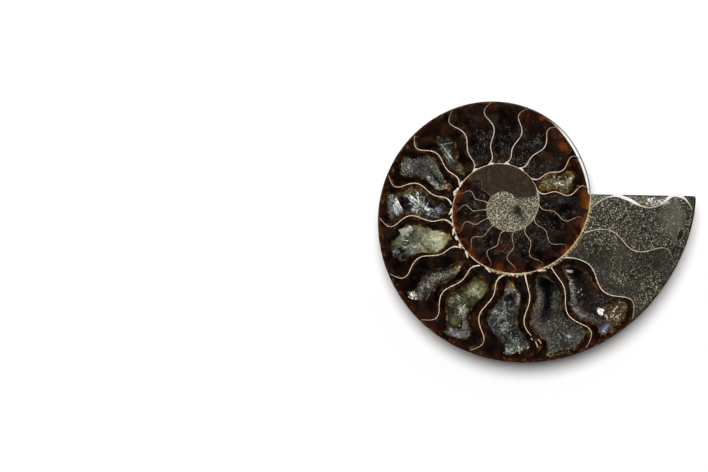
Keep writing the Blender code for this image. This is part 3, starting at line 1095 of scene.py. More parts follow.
@dataclass(frozen=True)
class CrystalCrust:
    """The lining of a hollow and the crystals that stand on it."""

    coil: Coil
    hollow: Hollow
    lining: float = 0.35
    points_around: int = 96
    rings: tuple[float, ...] = (0.12, 0.25, 0.38, 0.5, 0.6, 0.7, 0.78, 0.85, 0.9, 0.94, 0.97, 0.99,
                                1.0)

    def plan(self, across: Array, share: Array) -> Array:
        """Plan position of places in the hollow."""
        return self.coil.chamber(self.hollow.chamber, across, share)

    def floor(self, place: Patch | Spray) -> tuple[Array, float]:
        """Plan position of a place in the hollow, and the height of the bowl there."""
        where = np.full(1, place.across / 100), np.full(1, place.share / 100)
        depth = self.hollow.depth_at(*where, np.full(1, 0.3))[0]
        return self.plan(*where)[0], self.coil.face - depth

    def surface(self, turn: Array, scale: Array) -> Array:
        """Points of the lining's top.

        Args:
            turn: radians around the hollow.
            scale: sizes of the rings.

        Returns:
            The bowl raised by the lining, with low lumps.
        """
        across, share = self.hollow.outline(turn, scale)
        plan = self.plan(across, share)
        drop = np.maximum(self.hollow.depth_at(across, share, scale) - self.lining, 0.1)
        lumps = 0.22 * ripple(plan, 3.0, self.hollow.chamber) * np.minimum(drop, 1.0)
        return np.concatenate([plan, (self.coil.face - drop + lumps)[..., None]], axis=-1)

    def tints(self, across: Array, share: Array, dice: np.random.Generator) -> tuple:
        """What the patches make of each place.

        Args:
            across: shares of the way across.
            share: shares of the way outwards.
            dice: jitters the patches' edges.

        Returns:
            Linear colour, size and bareness of each place.
        """
        tint = np.tile(colour(self.hollow.tint), (len(share), 1))
        size, bare = np.ones(len(share)), np.zeros(len(share))
        wander_across = across + dice.normal(0.0, 0.018, len(across))
        wander_share = share + dice.normal(0.0, 0.012, len(share))
        for patch in self.hollow.patches:
            weight = patch.weight(wander_across, wander_share)
            tint += weight[:, None] * (np.array(colour(patch.tint)) - tint)
            size += weight * (patch.size - size)
            bare += weight * (patch.bare - bare)
        return tint, size, bare

    def base(self, dice: np.random.Generator) -> Growth:
        """Closed lining: the bowl below, the lumpy top above.

        Args:
            dice: varies its tint.

        Returns:
            The lining as a part of the crust.
        """
        turn = around(self.points_around)
        below, above = [], []
        for scale in self.rings:
            across, share = self.hollow.outline(turn, scale)
            drop = np.maximum(self.hollow.depth_at(across, share, scale), 0.25)
            below.append(lift(self.plan(across, share), self.coil.face - drop - 0.02))
            above.append(self.surface(turn, np.full_like(turn, scale)))
        solid = loft(below + above[::-1])
        rings = np.array(self.rings + self.rings[::-1])
        across, share = self.hollow.outline(np.tile(turn, len(rings)), np.repeat(rings, len(turn)))
        ends = self.hollow.outline(np.zeros(2), np.full(2, 0.01))
        tint, _, _ = self.tints(np.append(across, ends[0]), np.append(share, ends[1]), dice)
        # Painted shade: the lining gets a low factor, darker in the gaps between the crystals.
        return Growth(solid, tint, np.full(len(solid[0]), 0.3), True)

    def crystal(self) -> tuple[Array, Array]:
        """One crystal of the hollow's habit: a leaning block, or a pyramid on a short prism.

        Returns:
            Its vertices, about one unit wide, and its triangles.
        """
        width, length, height, sides = self.hollow.habit.value
        if self.hollow.habit is Habit.RHOMBS:
            both = (-1.0, 1.0)
            corners = np.array([(x, y, z) for z in both for y in both for x in both])
            corners *= (width, length, height)
            corners[:, 0] += 0.35 * corners[:, 2] + 0.25 * corners[:, 1]
            quads = ((0, 1, 3, 2), (4, 6, 7, 5), (0, 4, 5, 1), (2, 3, 7, 6), (0, 2, 6, 4),
                     (1, 5, 7, 3))
            faces = [(a, b, c) for a, b, c, d in quads] + [(a, c, d) for a, b, c, d in quads]
            return corners, np.array(faces)
        angle = np.arange(sides) * 2.0 * math.pi / sides
        wobble = 1.0 + 0.12 * np.cos(3.0 * angle + 0.4)
        ring = np.column_stack([width * np.cos(angle) * wobble, length * np.sin(angle) * wobble])
        points = np.concatenate([lift(ring * 0.85, -0.35), lift(ring, 0.15 * height),
                                 [[0.06, 0.04, height]]])
        side = np.arange(sides)
        after = (side + 1) % sides
        walls = ((side, after, sides + after), (side, sides + after, sides + side),
                 (sides + side, sides + after, 0 * side + 2 * sides),
                 (0 * side[1:-1], side[1:-1] + 1, side[1:-1]))
        return points, np.concatenate([np.column_stack(wall) for wall in walls])

    def crystals(self) -> Growth:
        """Many crystals set on the lining, each turned and sized at random.

        Returns:
            All of them as one part of the crust.
        """
        dice = np.random.default_rng(100 + self.hollow.chamber)
        count = self.hollow.count
        turn = dice.uniform(0.0, 2.0 * math.pi, count)
        massive = self.hollow.habit is Habit.RHOMBS
        scale = np.sqrt(dice.uniform(0.0, 0.84 if massive else 1.05, count))
        tint, grow, bare = self.tints(*self.hollow.outline(turn, scale), dice)
        kept = dice.uniform(0.0, 1.0, count) > bare
        turn, scale, tint, grow = turn[kept], scale[kept], tint[kept], grow[kept]
        count = len(turn)

        # Each stands on the lining's normal, tipped and turned.
        foot = self.surface(turn, scale)
        step = 0.01
        normal = np.cross(self.surface(turn + step, scale) - foot,
                          self.surface(turn, scale * (1.0 - step)) - foot)
        normal *= np.sign(normal[:, 2:])
        axis = unit(normal, 1e-12) + 0.3 * dice.normal(size=(count, 3))
        axis[:, 2] = abs(axis[:, 2]) + 0.15
        axis = unit(axis)
        side = unit(np.cross(axis, dice.normal(size=(count, 3))))
        other = np.cross(axis, side)

        low, high = self.hollow.size
        size = (low + (high - low) * dice.uniform(0.0, 1.0, count) ** 2.0) * grow
        shape, triangles = self.crystal()
        stretch = dice.uniform(0.75, 1.35, (count, 3)) * size[:, None]
        local = shape[None] * stretch[:, None, :]
        points = (foot[:, None, :] + local[..., :1] * side[:, None, :]
                  + local[..., 1:2] * other[:, None, :] + local[..., 2:] * axis[:, None, :])
        ceiling = self.coil.face + 0.02 - dice.uniform(0.0, 0.15, (count, 1))
        points[..., 2] = np.minimum(points[..., 2], ceiling)
        # Painted light and shade: each crystal gets a random factor, as if its facets caught the
        # light or lay in shade.
        middle, spread = (0.72, 0.42) if massive else (0.56, 0.85)
        shine = np.clip(middle * np.exp(spread * dice.normal(size=count)), 0.12, 2.4)
        corners = len(shape)
        return Growth((points.reshape(-1, 3), repeated(triangles, corners, count)),
                      np.repeat(tint, corners, axis=0), np.repeat(shine, corners))

    def blades(self, spray: Spray, dice: np.random.Generator) -> Growth:
        """Long roof-shaped crystals of one spray.

        Args:
            spray: where they start, and their directions and sizes.
            dice: varies them.

        Returns:
            All of them as one part of the crust.
        """
        count = len(spray.headings) * spray.count
        heading = np.radians(np.repeat(spray.headings, spray.count)
                             + dice.normal(0, spray.stray, count))
        length = spray.length * dice.uniform(0.6, 1.1, count)
        width = spray.width * dice.uniform(0.6, 1.2, count)
        middle, floor = self.floor(spray)
        start = middle + dice.normal(0.0, spray.scatter, (count, 2))
        shape = np.array([(0, -0.5, -0.6), (0.75, -0.5, -0.6), (1, 0, -0.6), (0.75, 0.5, -0.6),
                          (0, 0.5, -0.6), (0.05, 0, 0.4), (0.85, 0, 0.3)])
        triangles = np.array([(0, 3, 1), (1, 3, 2), (0, 4, 3), (0, 1, 6), (0, 6, 5), (1, 2, 6),
                              (2, 3, 6), (3, 4, 5), (3, 5, 6), (4, 0, 5)])
        ahead = np.column_stack([np.cos(heading), np.sin(heading)])
        aside = np.column_stack([-ahead[:, 1], ahead[:, 0]])
        forwards, sideways = shape[:, 0] * length[:, None], shape[:, 1] * width[:, None]
        plan = (start[:, None, :] + forwards[..., None] * ahead[:, None, :]
                + sideways[..., None] * aside[:, None, :])
        slope = dice.uniform(-0.12, 0.12, count)
        highest = self.coil.face - 0.05 - 0.4 * width - np.maximum(slope, 0.0) * length
        rise = (np.minimum(floor + self.lining + spray.height, highest)
                - dice.uniform(0.0, 0.3, count))
        height = (rise[:, None] + shape[:, 2] * width[:, None]
                  + slope[:, None] * shape[:, 0] * length[:, None])
        points = np.concatenate([plan, height[..., None]], axis=-1).reshape(-1, 3)
        # Painted highlight: the blades get a high factor, lighter than the crystals around them.
        return Growth((points, repeated(triangles, len(shape), count)),
                      np.tile(colour(spray.tint), (len(points), 1)),
                      np.repeat(dice.uniform(0.8, 1.6, count), len(shape)))

    def knob(self, boss: Patch) -> Growth:
        """Smooth round boss: rings up a low dome, a circle's cosine wide and its sine high.

        Args:
            boss: where it stands, its size as the radius and its rise above the bowl.

        Returns:
            The boss as a part of the crust.
        """
        middle, floor = self.floor(boss)
        turn = around(36)
        circle = np.column_stack([np.cos(turn), np.sin(turn)])
        climbs = np.radians((0.0, 10.0, 22.0, 34.0, 46.0, 58.0, 70.0, 80.0, 87.0))
        steps = [(boss.size, floor - 0.5)]
        steps += [(boss.size * math.cos(climb),
                   floor + boss.rise + 0.35 * boss.size * math.sin(climb)) for climb in climbs]
        # Painted light and shade: the dome's factor is low at its foot and high on its top, and
        # higher on one side.
        shine = [0.15 + math.sin(climb) ** 3 * (1.0 - 0.3 * np.sin(turn + 0.6))
                 for climb in climbs]
        solid = loft(stacked(middle, circle, steps))
        return Growth(solid, np.tile(colour(boss.tint), (len(solid[0]), 1)),
                      np.concatenate([np.full(36, 0.2), *shine, [0.2, 1.1]]), True)

    def build(self, material: Material) -> None:
        """Make the crust as one piece, in place of its plain solid.

        Args:
            material: its finish.
        """
        dice = np.random.default_rng(300 + self.hollow.chamber)
        parts = [self.base(dice), self.crystals(),
                 *(self.blades(spray, dice) for spray in self.hollow.sprays),
                 *(self.knob(boss) for boss in self.hollow.knobs)]
        smooth = [np.full(len(part.solid[1]), part.smooth) for part in parts]
        piece = make_piece(f"crystals_{self.hollow.chamber:02d}",
                           joined([part.solid for part in parts]), material,
                           smooth=np.concatenate(smooth),
                           tint=np.concatenate([part.tint for part in parts]),
                           shine=np.concatenate([part.shine for part in parts]))
        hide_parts(f"crystal_crust_{self.hollow.chamber:02d}")


# -------- The polished face --------

# Places of each chamber that differ, as a mark and its place in hundredths, and the amount added.
SPOTS = {
    SAWN_EDGE: (("tone", 97, 50, 7, 100, -0.6), ("calm", 40, 50, 60, 100, 0.35)),
    0: (("calm", 80, 36, 15, 42, 0.9), ("calm", 88, 55, 10, 36, 0.7),
        ("calm", 35, 50, 40, 80, -0.5), ("tone", 83, 34, 11, 28, 0.22),
        ("tone", 93, 80, 8, 40, -0.15), ("tone", 22, 35, 20, 50, 0.24),
        # The tone spots 4 hundredths across, at 30 and 80 outwards, are painted highlight: a pale
        # glow in the mud beside the first septum's bright crests.
        ("tone", 55, 50, 18, 60, -0.12), ("tone", 30, 4, 14, 10, 0.35),
        ("tone", 80, 4, 12, 10, 0.35)),
    1: (("calm", 50, 50, 100, 100, 0.95), ("tone", 50, 50, 100, 100, 0.1),
        ("calm", 24, 30, 16, 34, -1.5), ("calm", 60, 52, 14, 18, -1.5),
        ("calm", 93, 60, 10, 26, -1.6), ("tone", 93, 60, 9, 22, 0.15),
        ("tone", 36, 62, 8, 14, -0.2), ("tone", 45, 25, 14, 20, 0.35),
        ("tone", 75, 30, 10, 30, -0.35), ("tone", 55, 62, 10, 18, 0.3),
        ("tone", 20, 70, 12, 25, -0.25)),
    11: (("specks", 46, 48, 10, 10, 2.2),),
    12: (("warmth", 95, 55, 12, 60, 0.12),),
    13: (("warmth", 90, 25, 16, 50, 0.28), ("warmth", 86, 94, 9, 20, 0.3),
         ("specks", 62, 74, 6, 12, 2.0)),
    14: (("warmth", 86, 50, 18, 50, 0.30), ("warmth", 86, 62, 11, 26, 0.12)),
    15: (("warmth", 86, 6, 14, 30, 0.35), ("warmth", 86, 95, 14, 30, 0.35)),
    MUD_CHAMBER: (("calm", 50, 50, 100, 100, 0.2),),
}
FAR = 9.0                    # distance that counts as far from any hollow


@dataclass(frozen=True)
class ChamberFill:
    """Mineral that fills one chamber, with its hollow if it has one."""

    coil: Coil
    index: int
    hollow: Hollow | None = None
    warmth: float = 0.3
    specks: float = 0.3
    fringe: float = 0.4
    void_shade: float = 0.0
    raised: float = 0.0
    skirt: float = 1.6
    well: float = 3.95
    along: int = 64
    across: int = 20

    def edge(self) -> tuple[Array, Array]:
        """Points around the chamber's edge, corners included.

        Returns:
            Shares of the way across and outwards.
        """
        up = np.linspace(0.0, 1.0, self.along, endpoint=False)
        over = np.linspace(0.0, 1.0, self.across, endpoint=False)
        across = np.concatenate([np.zeros(self.along), over, np.ones(self.along), 1.0 - over])
        share = np.concatenate([up, np.ones(self.across), 1.0 - up, np.zeros(self.across)])
        return across, share

    def plan(self, across: Array, share: Array) -> Array:
        """Plan position, drawn in to leave the outer shell's own edge free."""
        angle = self.coil.angle_across(self.index, across, share)
        inset = np.minimum(self.coil.rim_width(angle) * share, self.coil.height(angle) / 2)
        return self.coil.plan(angle, self.coil.radius_at(angle, share) - inset)

    def drawn_in(self, scale: float) -> tuple[Array, Array]:
        """The chamber's edge, scaled about its middle."""
        return tuple(0.5 + scale * (part - 0.5) for part in self.edge())

    def rows(self) -> list[tuple]:
        """Rows of the visible surface.

        Returns:
            For each row its chamber coordinates, drop, distance to the hollow and edge light.
        """
        if self.hollow is None:
            return [(*self.drawn_in(scale), 0.0, FAR, 0.0)
                    for scale in (1.0, 0.985, 0.96, 0.93, 0.89, 0.84, 0.78, 0.71, 0.63, 0.54,
                                  0.44, 0.33, 0.2, 0.07)]
        across, share = self.edge()
        turn = self.hollow.direction(across, share)
        light = self.hollow.brightness(turn)
        mouth_across, mouth_share = self.hollow.outline(turn)
        mouth = self.plan(mouth_across, mouth_share)
        rows = []
        for blend in (0.0, 0.08, 0.16, 0.26, 0.38, 0.5, 0.62, 0.74, 0.84, 0.92, 0.97, 1.0):
            here = across + blend * (mouth_across - across), share + blend * (mouth_share - share)
            gap = np.linalg.norm(self.plan(*here) - mouth, axis=1)
            rows.append((*here, 0.0, gap, light))
        for scale in (0.992, 0.98, 0.95, 0.9, 0.82, 0.7, 0.5, 0.25, 0.08):
            inner = self.hollow.outline(turn, scale)
            rows.append((*inner, self.hollow.depth_at(*inner, scale), 0.3, 0.0))
        return rows

    def build(self, name: str, material: Material) -> None:
        """Make the fill as a closed block whose top is the polished surface.

        Args:
            name: the piece's name.
            material: its finish.
        """
        coil = self.coil
        floor = self.skirt if self.hollow is None else self.well
        hidden = ((0.1, floor), (0.8, floor), (0.94, floor), (0.985, 0.9 * self.skirt))
        rings = [lift(self.plan(*self.drawn_in(scale)), coil.face - depth)
                 for scale, depth in hidden]
        rows = self.rows()
        rings += [lift(self.plan(row[0], row[1]), coil.face + self.raised - row[2]) for row in rows]
        rows = [(*self.edge(), 0.0, FAR, 0.0)] * len(hidden) + rows
        values = [np.concatenate([np.broadcast_to(row[part], len(rows[0][0])) for row in rows])
                  for part in (0, 1, 3, 4)]
        across, share, mouth_gap, lit = (np.append(value, [centre, centre])
                                         for value, centre in zip(values, (0.5, 0.5, FAR, 0.0)))
        mouth_gap[-1] = 0.3 if self.hollow else FAR
        start, end = coil.edge_angle(self.index, share), coil.edge_angle(self.index + 1, share)
        width, height = coil.radius_at(start, share) * np.radians(end - start), coil.height(start)
        wall_gap = np.minimum(np.minimum(across, 1.0 - across) * width,
                              np.minimum(share, 1.0 - share) * height)
        reach = 0.6 if self.index < INNER_WHORL else 0.45
        # The void mark paints black shade into the gaps at the septa's feet, near the inner wall.
        marks = {"warmth": self.warmth * limited((share - reach) / (1.0 - reach)) ** 1.5,
                 "specks": self.specks * (1.2 - 0.5 * share), "fringe": self.fringe,
                 "void_shade": self.void_shade * limited(1.5 - share * height / 0.9),
                 "calm": 0.0, "tone": 0.0}
        for label, *place, amount in SPOTS.get(self.index, ()):
            marks[label] = marks[label] + amount * Place(*place).weight(across, share)
        make_piece(name, loft(rings), material, smooth=False, wall_gap=wall_gap,
                   mouth_gap=mouth_gap, lit=lit, **marks)


@dataclass(frozen=True)
class Inlay:
    """A small flat inclusion in the face: an uneven oval that lies a hair above it."""

    coil: Coil
    name: str
    chamber: int
    share: float
    across: float
    length: float
    width: float
    heading: float
    material: Material
    calm: float = 0.0
    rise: float = 0.02
    uneven: float = 0.12

    def build(self) -> None:
        """Make the oval, with its edge moved in and out by three sines."""
        turn = around(40)
        seed = self.share * 17.0 + self.across * 5.0
        radius = 1.0 + self.uneven * (np.sin(2 * turn + seed) + np.sin(3 * turn + 2 * seed)
                                      + 0.6 * np.sin(7 * turn + 3 * seed))
        angle = math.radians(self.heading)
        ahead = np.array([math.cos(angle), math.sin(angle)])
        aside = np.array([-ahead[1], ahead[0]])
        middle = self.coil.chamber(self.chamber, np.full(1, self.across), np.full(1, self.share))[0]
        oval = ((radius * np.cos(turn) * self.length / 2)[:, None] * ahead
                + (radius * np.sin(turn) * self.width / 2)[:, None] * aside)
        top = self.coil.face + self.rise
        steps = ((0.5, top - 0.4), (1.0, top - 0.4), (1.0, top - 0.01), (0.97, top), (0.6, top),
                 (0.3, top))
        make_piece(self.name, loft(stacked(middle, oval, steps)), self.material,
                   calm=self.calm, tone=0.0)


@dataclass(frozen=True)
class Septa:
    """The curved partitions between the chambers, seen end on in the face."""

    coil: Coil
    points: int = 72
    width: float = 0.25
    crown: float = 0.03
    broken: tuple[int, float] = (4, 0.70)

    def mouth_edge(self, share: Array) -> tuple[Array, Array]:
        """Width and fade of the first septum: wide at its polished crests, where a painted
        highlight turns it near white.
        """
        # Painted highlight: on the two crests the fade goes below zero, which turns the septum near
        # white.
        gloss = np.maximum(bell(share, 0.34, 0.13, 4), bell(share, 0.80, 0.10, 4))
        return 0.34 + 0.75 * gloss, 0.45 - 1.6 * gloss

    def bar(self, index: int, material: Material) -> None:
        """Make one septum, thick at its foot and thinner outwards.

        Args:
            index: the septum, counted from the mouth.
            material: its finish.
        """
        feet = 0.02 if 4 < index < 11 else 0.0
        end = self.broken[1] if index == self.broken[0] else 0.975
        share = np.linspace(feet, end, self.points)
        path = self.coil.inside(self.coil.edge_angle(index, share), share)
        size = self.width * (0.6 if index > INNER_WHORL else 1.0)
        foot = (0.9 if 3 < index < 11 else 0.4) * bell(share, feet, 0.09)
        taper = 1.0 - 0.35 * limited((share - 0.6) / 0.4)
        thickness = size * (taper + foot) * (1.0 + 0.08 * ripple(path, 2.5, index))
        dull = 0.45 if index > INNER_WHORL else 0.22 if index > 10 else 0.0
        fade = limited((share - 0.7) / 0.3) * 0.6 + dull
        if index == 0:
            thickness, fade = self.mouth_edge(share)
        elif index in (1, MUD_CHAMBER):
            fade = fade + (0.3 if index == 1 else 0.35)
        make_piece(f"septum_{index:02d}",
                   ribbon(path, thickness, self.coil.face, self.crown), material,
                   fade=along_ribbon(fade))

    def build(self, material: Material) -> None:
        """Make one bar for each septum, and the fragments of the broken one.

        Args:
            material: their finish.
        """
        for index in range(MUD_CHAMBER + 1):
            self.bar(index, material)
        pieces = []
        for start, end, shift in ((0.745, 0.80, -1.2), (0.775, 0.84, 0.6), (0.73, 0.75, 1.2)):
            share = np.linspace(start, end, 6)
            path = self.coil.inside(self.coil.edge_angle(self.broken[0], share) + shift, share)
            pieces.append(ribbon(path, np.full(6, 0.32), self.coil.face, self.crown))
        make_piece("septum_fragments", joined(pieces), material, fade=0.4)


@dataclass(frozen=True)
class WhorlWall:
    """The wall between one whorl and the next, with the stubs and beads on its outside."""

    coil: Coil
    start: float = 352.0
    end: float = 935.0
    width: float = 0.42
    crown: float = 0.035

    def outside(self, angle: Array, away: float | Array) -> Array:
        """Plan points some way outside the wall."""
        return self.coil.plan(angle, self.coil.outer_radius(angle) + away)

    def strip(self, start: float, end: float, away: float, width: float, count: int) -> Solid:
        """Bar along the wall between two angles, some way outside it."""
        ends = np.sin(np.linspace(0.0, math.pi, count)) ** 0.4
        return ribbon(self.outside(np.linspace(start, end, count), away),
                      width * np.maximum(ends, 0.15), self.coil.face, self.crown)

    def build(self, material: Material) -> None:
        """Make the wall as one long bar that thins inwards.

        Args:
            material: its finish.
        """
        angle = np.linspace(self.start, self.end, 900)
        path = self.outside(angle, 0.0)
        inward = np.clip((angle - self.start) / FULL_TURN, 0.0, 1.6)
        width = self.width * (1.0 - 0.32 * inward) * (1.0 + 0.25 * ripple(path, 2.0, 3))
        width *= np.clip((self.end + 2.0 - angle) / 30.0, 0.1, 1.0)
        fade = limited(0.2 + 0.25 * limited(inward) + 0.12 * ripple(path, 9.0, 4))
        make_piece("whorl_wall", ribbon(path, width, self.coil.face, self.crown), material,
                   fade=along_ribbon(fade))

    def stubs(self, material: Material) -> None:
        """Make the pale wedges, lumps and beads that stand on the outside of the wall.

        Args:
            material: their finish.
        """
        dice = np.random.default_rng(8)
        solids = []
        for index in (4, 5, 6, 7, 8, 9, 10):
            start = SEPTUM_ANGLES[index] + FULL_TURN - 11.5
            path = self.outside(start + np.linspace(0.0, -5.2, 8),
                                0.15 + np.linspace(0.0, 1.0, 8) ** 1.4)
            solids.append(ribbon(path, np.linspace(0.85, 0.35, 8), self.coil.face, 0.045))
        for index in (10, 11, 12, 13, 14):
            angle = SEPTUM_ANGLES[index] + FULL_TURN
            solids.append(self.strip(angle - 8.0, angle - 1.0, 0.22, 0.85, 14))
        for angle in (498.0, 505.0, 513.0, 519.0, 527.0, 534.0, 551.0, 558.0):
            solids.append(self.strip(angle, angle + dice.uniform(2.6, 5.0),
                                     dice.uniform(0.2, 0.5), dice.uniform(0.5, 1.0), 12))
        make_piece("wall_stubs", joined(solids), material, fade=0.0)

    def beads(self, material: Material) -> None:
        """Make the porous shell that lies against the wall beside the first chambers."""
        band = joined([self.strip(356.0, 420.0, 0.58, 1.05, 120),
                       self.strip(429.0, 468.0, 0.5, 0.75, 60)])
        make_piece("porous_band", band, material, fade=0.1)

    def pores(self, material: Material) -> None:
        """Make the small dark pores of the band beside the mouth.

        Args:
            material: their finish.
        """
        dice = np.random.default_rng(21)
        turn = around(10)
        top = self.coil.face + self.crown + 0.012
        solids = []
        for angle in (*np.arange(360.0, 417.0, 2.7), *np.arange(432.0, 462.0, 3.4)):
            middle = self.outside(angle + dice.uniform(-0.6, 0.6), 0.62)
            size = dice.uniform(0.26, 0.44)
            uneven = 1.0 + 0.2 * np.sin(2 * turn + angle) + 0.12 * np.sin(3 * turn)
            ring = np.column_stack([np.cos(turn), np.sin(turn)]) * (size * uneven)[:, None]
            solids.append(loft(stacked(middle, ring, ((0.5, top - 0.2), (1.0, top - 0.2),
                                                      (1.0, top), (0.5, top)))))
        make_piece("wall_pores", joined(solids), material, fade=1.0)


@dataclass(frozen=True)
class Core:
    """The grainy middle of the coil, with its dark pocket and the mud around it."""

    coil: Coil
    pocket_across: float = 1.483
    pocket_share: float = 0.15

    def tone(self, plan: Array) -> Array:
        """Lightness of the core: ripples, less a bell in the pocket and bells along creases.

        Args:
            plan: plan positions in the core.

        Returns:
            The lightness of each, about 0.
        """
        pocket = self.coil.chamber(MUD_CHAMBER, np.full(1, self.pocket_across),
                                   np.full(1, self.pocket_share))[0]
        place = plan - pocket
        away = place @ np.array([[0.5, 0.87], [-0.87, 0.5]])
        shadow = np.exp(-((away[:, 0] / 2.6) ** 2 + (away[:, 1] / 1.5) ** 2) ** 1.5)
        uneven = 0.16 * ripple(plan, 5.0, 12)
        # Creases between the core's lobes fade with the distance to a line from the pocket.
        for end in (np.array([0.3, 3.4]), np.array([-3.2, -1.5]), np.array([2.2, -3.0])):
            share = limited(place @ end / (end @ end))
            gap = np.linalg.norm(place - share[:, None] * end, axis=1)
            uneven = uneven - (0.55 - 0.2 * share) * bell(gap, 0.0, 0.45)
        return 0.1 + uneven - 0.8 * shadow

    def build(self, granular: Material, mud: Material, dark: Material) -> None:
        """Make the core, the crescent of mud and the pocket.

        Args:
            granular: finish of the core.
            mud: finish of the crescent.
            dark: finish of the pocket.
        """
        coil = self.coil
        angle = np.linspace(655.0, 1015.0, 360, endpoint=False)
        middle = np.array([coil.centre_x, coil.centre_y])
        outline = coil.plan(angle, coil.outer_radius(angle)) - middle
        steps = [(0.98, coil.face - 1.5)]
        steps += [(scale, coil.face) for scale in np.linspace(1.0, 0.04, 25)]
        solid = loft(stacked(middle, outline, steps))
        make_piece("core_fill", solid, granular, calm=-0.1, tone=self.tone(solid[0][:, :2]))
        ChamberFill(coil, MUD_CHAMBER, raised=0.02).build("mud_crescent", mud)
        # The pocket is a flat near-black inlay: painted shade that stands for a small hole.
        Inlay(coil, "core_pocket", MUD_CHAMBER, self.pocket_share, self.pocket_across, 2.6, 1.0,
              62.0, dark, 0.6, uneven=0.22).build()


# -------- The outside --------

@dataclass(frozen=True)
class StoneBody:
    """Outer shell with its ribs, umbilicus, rim and sawn end, hollow under the chamber fills."""

    coil: Coil
    columns: int = 540
    centre_rows: int = 26
    flank_rows: int = 64
    well: float = 4.0
    rib_count: int = 46
    rib_depth: float = 0.32
    crowding: float = 1.6            # power that crowds the rows towards the edge
    rim_depth: float = 1.6           # where the dark rim starts below the face
    suture_spacing: float = 22.0     # degrees from one septum's edge to the next

    def step_radius(self) -> float:
        """Radius along the sawn end where the last whorl starts to hide the earlier one.

        Returns:
            Millimetres from the coil's centre.
        """
        coil = self.coil
        radius = np.linspace(coil.umbilicus * coil.mouth_radius, 0.4 * coil.mouth_radius, 400)
        angle = coil.saw_angle(radius)
        hidden = coil.flank_depth(angle, radius) > (
            coil.flank_depth(angle + FULL_TURN, radius) + 0.02)
        return float(radius[np.argmax(hidden)])

    def ribbed_depth(self, angle: Array, radius: Array) -> Array:
        """Flank depth with faint sickle-shaped ribs that only take away from it.

        Args:
            angle: degrees clockwise from +X.
            radius: distances from the coil's centre.

        Returns:
            Millimetres below the face.
        """
        fraction = radius / self.coil.outer_radius(angle)
        sickle = 14.0 * np.sin(math.pi * limited((fraction - 0.3) / 0.7)) * (fraction - 0.55)
        wave = 0.5 + 0.5 * np.cos(np.radians(self.rib_count * (angle + sickle)))
        strength = limited((fraction - 0.42) / 0.25) * limited((1.0 - fraction) / 0.1)
        return self.coil.flank_depth(angle, radius) - self.rib_depth * wave * strength

    def end_outline(self) -> Array:
        """Outline of the sawn end: out on the last whorl, back on the earlier.

        Returns:
            The radius and the depth of each point.
        """
        coil, step = self.coil, self.step_radius()
        share = 1.0 - (1.0 - np.linspace(0.0, 1.0, 60)) ** self.crowding
        paths = []
        for turn in (0.0, FULL_TURN):
            radius = step + share
            for _ in range(SOLVING_STEPS):
                radius = step + share * (coil.outer_radius(coil.saw_angle(radius) + turn) - step)
            depth = coil.flank_depth(coil.saw_angle(radius) + turn, radius)
            paths.append(np.column_stack([radius, np.maximum(depth, 0.3)]))
        return np.concatenate([paths[0], paths[1][::-1]])

    def sawn_end(self, material: Material) -> None:
        """Make the mudstone of the sawn end: a thin plate a hair proud of the shell's end.

        Args:
            material: its finish.
        """
        coil = self.coil
        outline = self.end_outline()
        middle = np.array([0.5 * (outline[0, 0] + outline[:, 0].max()), 7.0])
        tilt = math.atan(coil.saw_slope)
        rings = []
        for scale, proud in ((0.02, -0.3), (0.5, -0.3), (0.955, -0.3), (0.955, 0.04), (0.8, 0.04),
                             (0.6, 0.04), (0.4, 0.04), (0.2, 0.04), (0.02, 0.04)):
            shape = middle + scale * (outline - middle)
            plan = coil.plan(coil.saw_angle(shape[:, 0]), shape[:, 0])
            plan = plan + proud * np.array([-math.sin(tilt), math.cos(tilt)])
            rings.append(lift(plan, coil.face - shape[:, 1]))
        make_piece("sawn_end", loft(rings), material, smooth=False, calm=0.0, tone=-0.1)

    def bevel(self, angle: Array) -> Array:
        """Drop of the worn edge: slight all round, and deep beside the mouth's notch."""
        coil = self.coil
        return 0.2 + 0.6 * bell(np.mod(angle + 10.0, FULL_TURN), coil.worn_at + 10.0,
                                coil.worn_half, 4)

    def flank(self, turn: Array) -> tuple[list, dict, Array]:
        """Rings from the centre out to the edge.

        Args:
            turn: shares of the way round, from the sawn end back to it.

        Returns:
            The rings, the marks of each ring by name, and the angles of the last ring.
        """
        coil, step = self.coil, self.step_radius()
        rings, marks = [], {"suture": [], "rim": [], "bevel_highlight": [], "sawn": []}
        steps = np.linspace(0.0, 1.0, self.flank_rows + 1)[1:]
        shares = 1.0 - (1.0 - steps) ** self.crowding
        for row in range(1, self.centre_rows + self.flank_rows + 1):
            angle = coil.saw_angle(np.float64(step)) + FULL_TURN * turn
            if row <= self.centre_rows:
                radius = np.full(self.columns + 1, step * row / self.centre_rows)
            else:
                share = shares[row - self.centre_rows - 1]
                for _ in range(SOLVING_STEPS):
                    radius = step + share * (coil.outer_radius(angle) - step)
                    angle = coil.saw_angle(radius) + FULL_TURN * turn
            ring = lift(coil.plan(angle, radius), coil.face - self.ribbed_depth(angle, radius))
            if row <= self.centre_rows:
                ring[-1] = ring[0]
            if row == self.centre_rows + self.flank_rows:
                ring[:, 2] = coil.face - self.bevel(angle)
            rings.append(ring)
            fraction = limited(radius / coil.outer_radius(angle))
            bend = coil.septum_offset(8, limited((fraction - 0.45) / 0.55))
            marks["suture"].append((angle - bend) / self.suture_spacing)
            marks["rim"].append(limited(self.rim_depth - (coil.face - ring[:, 2])))
            marks["bevel_highlight"].append(np.zeros_like(turn))
            marks["sawn"].append(np.zeros_like(turn))
        return rings, marks, angle

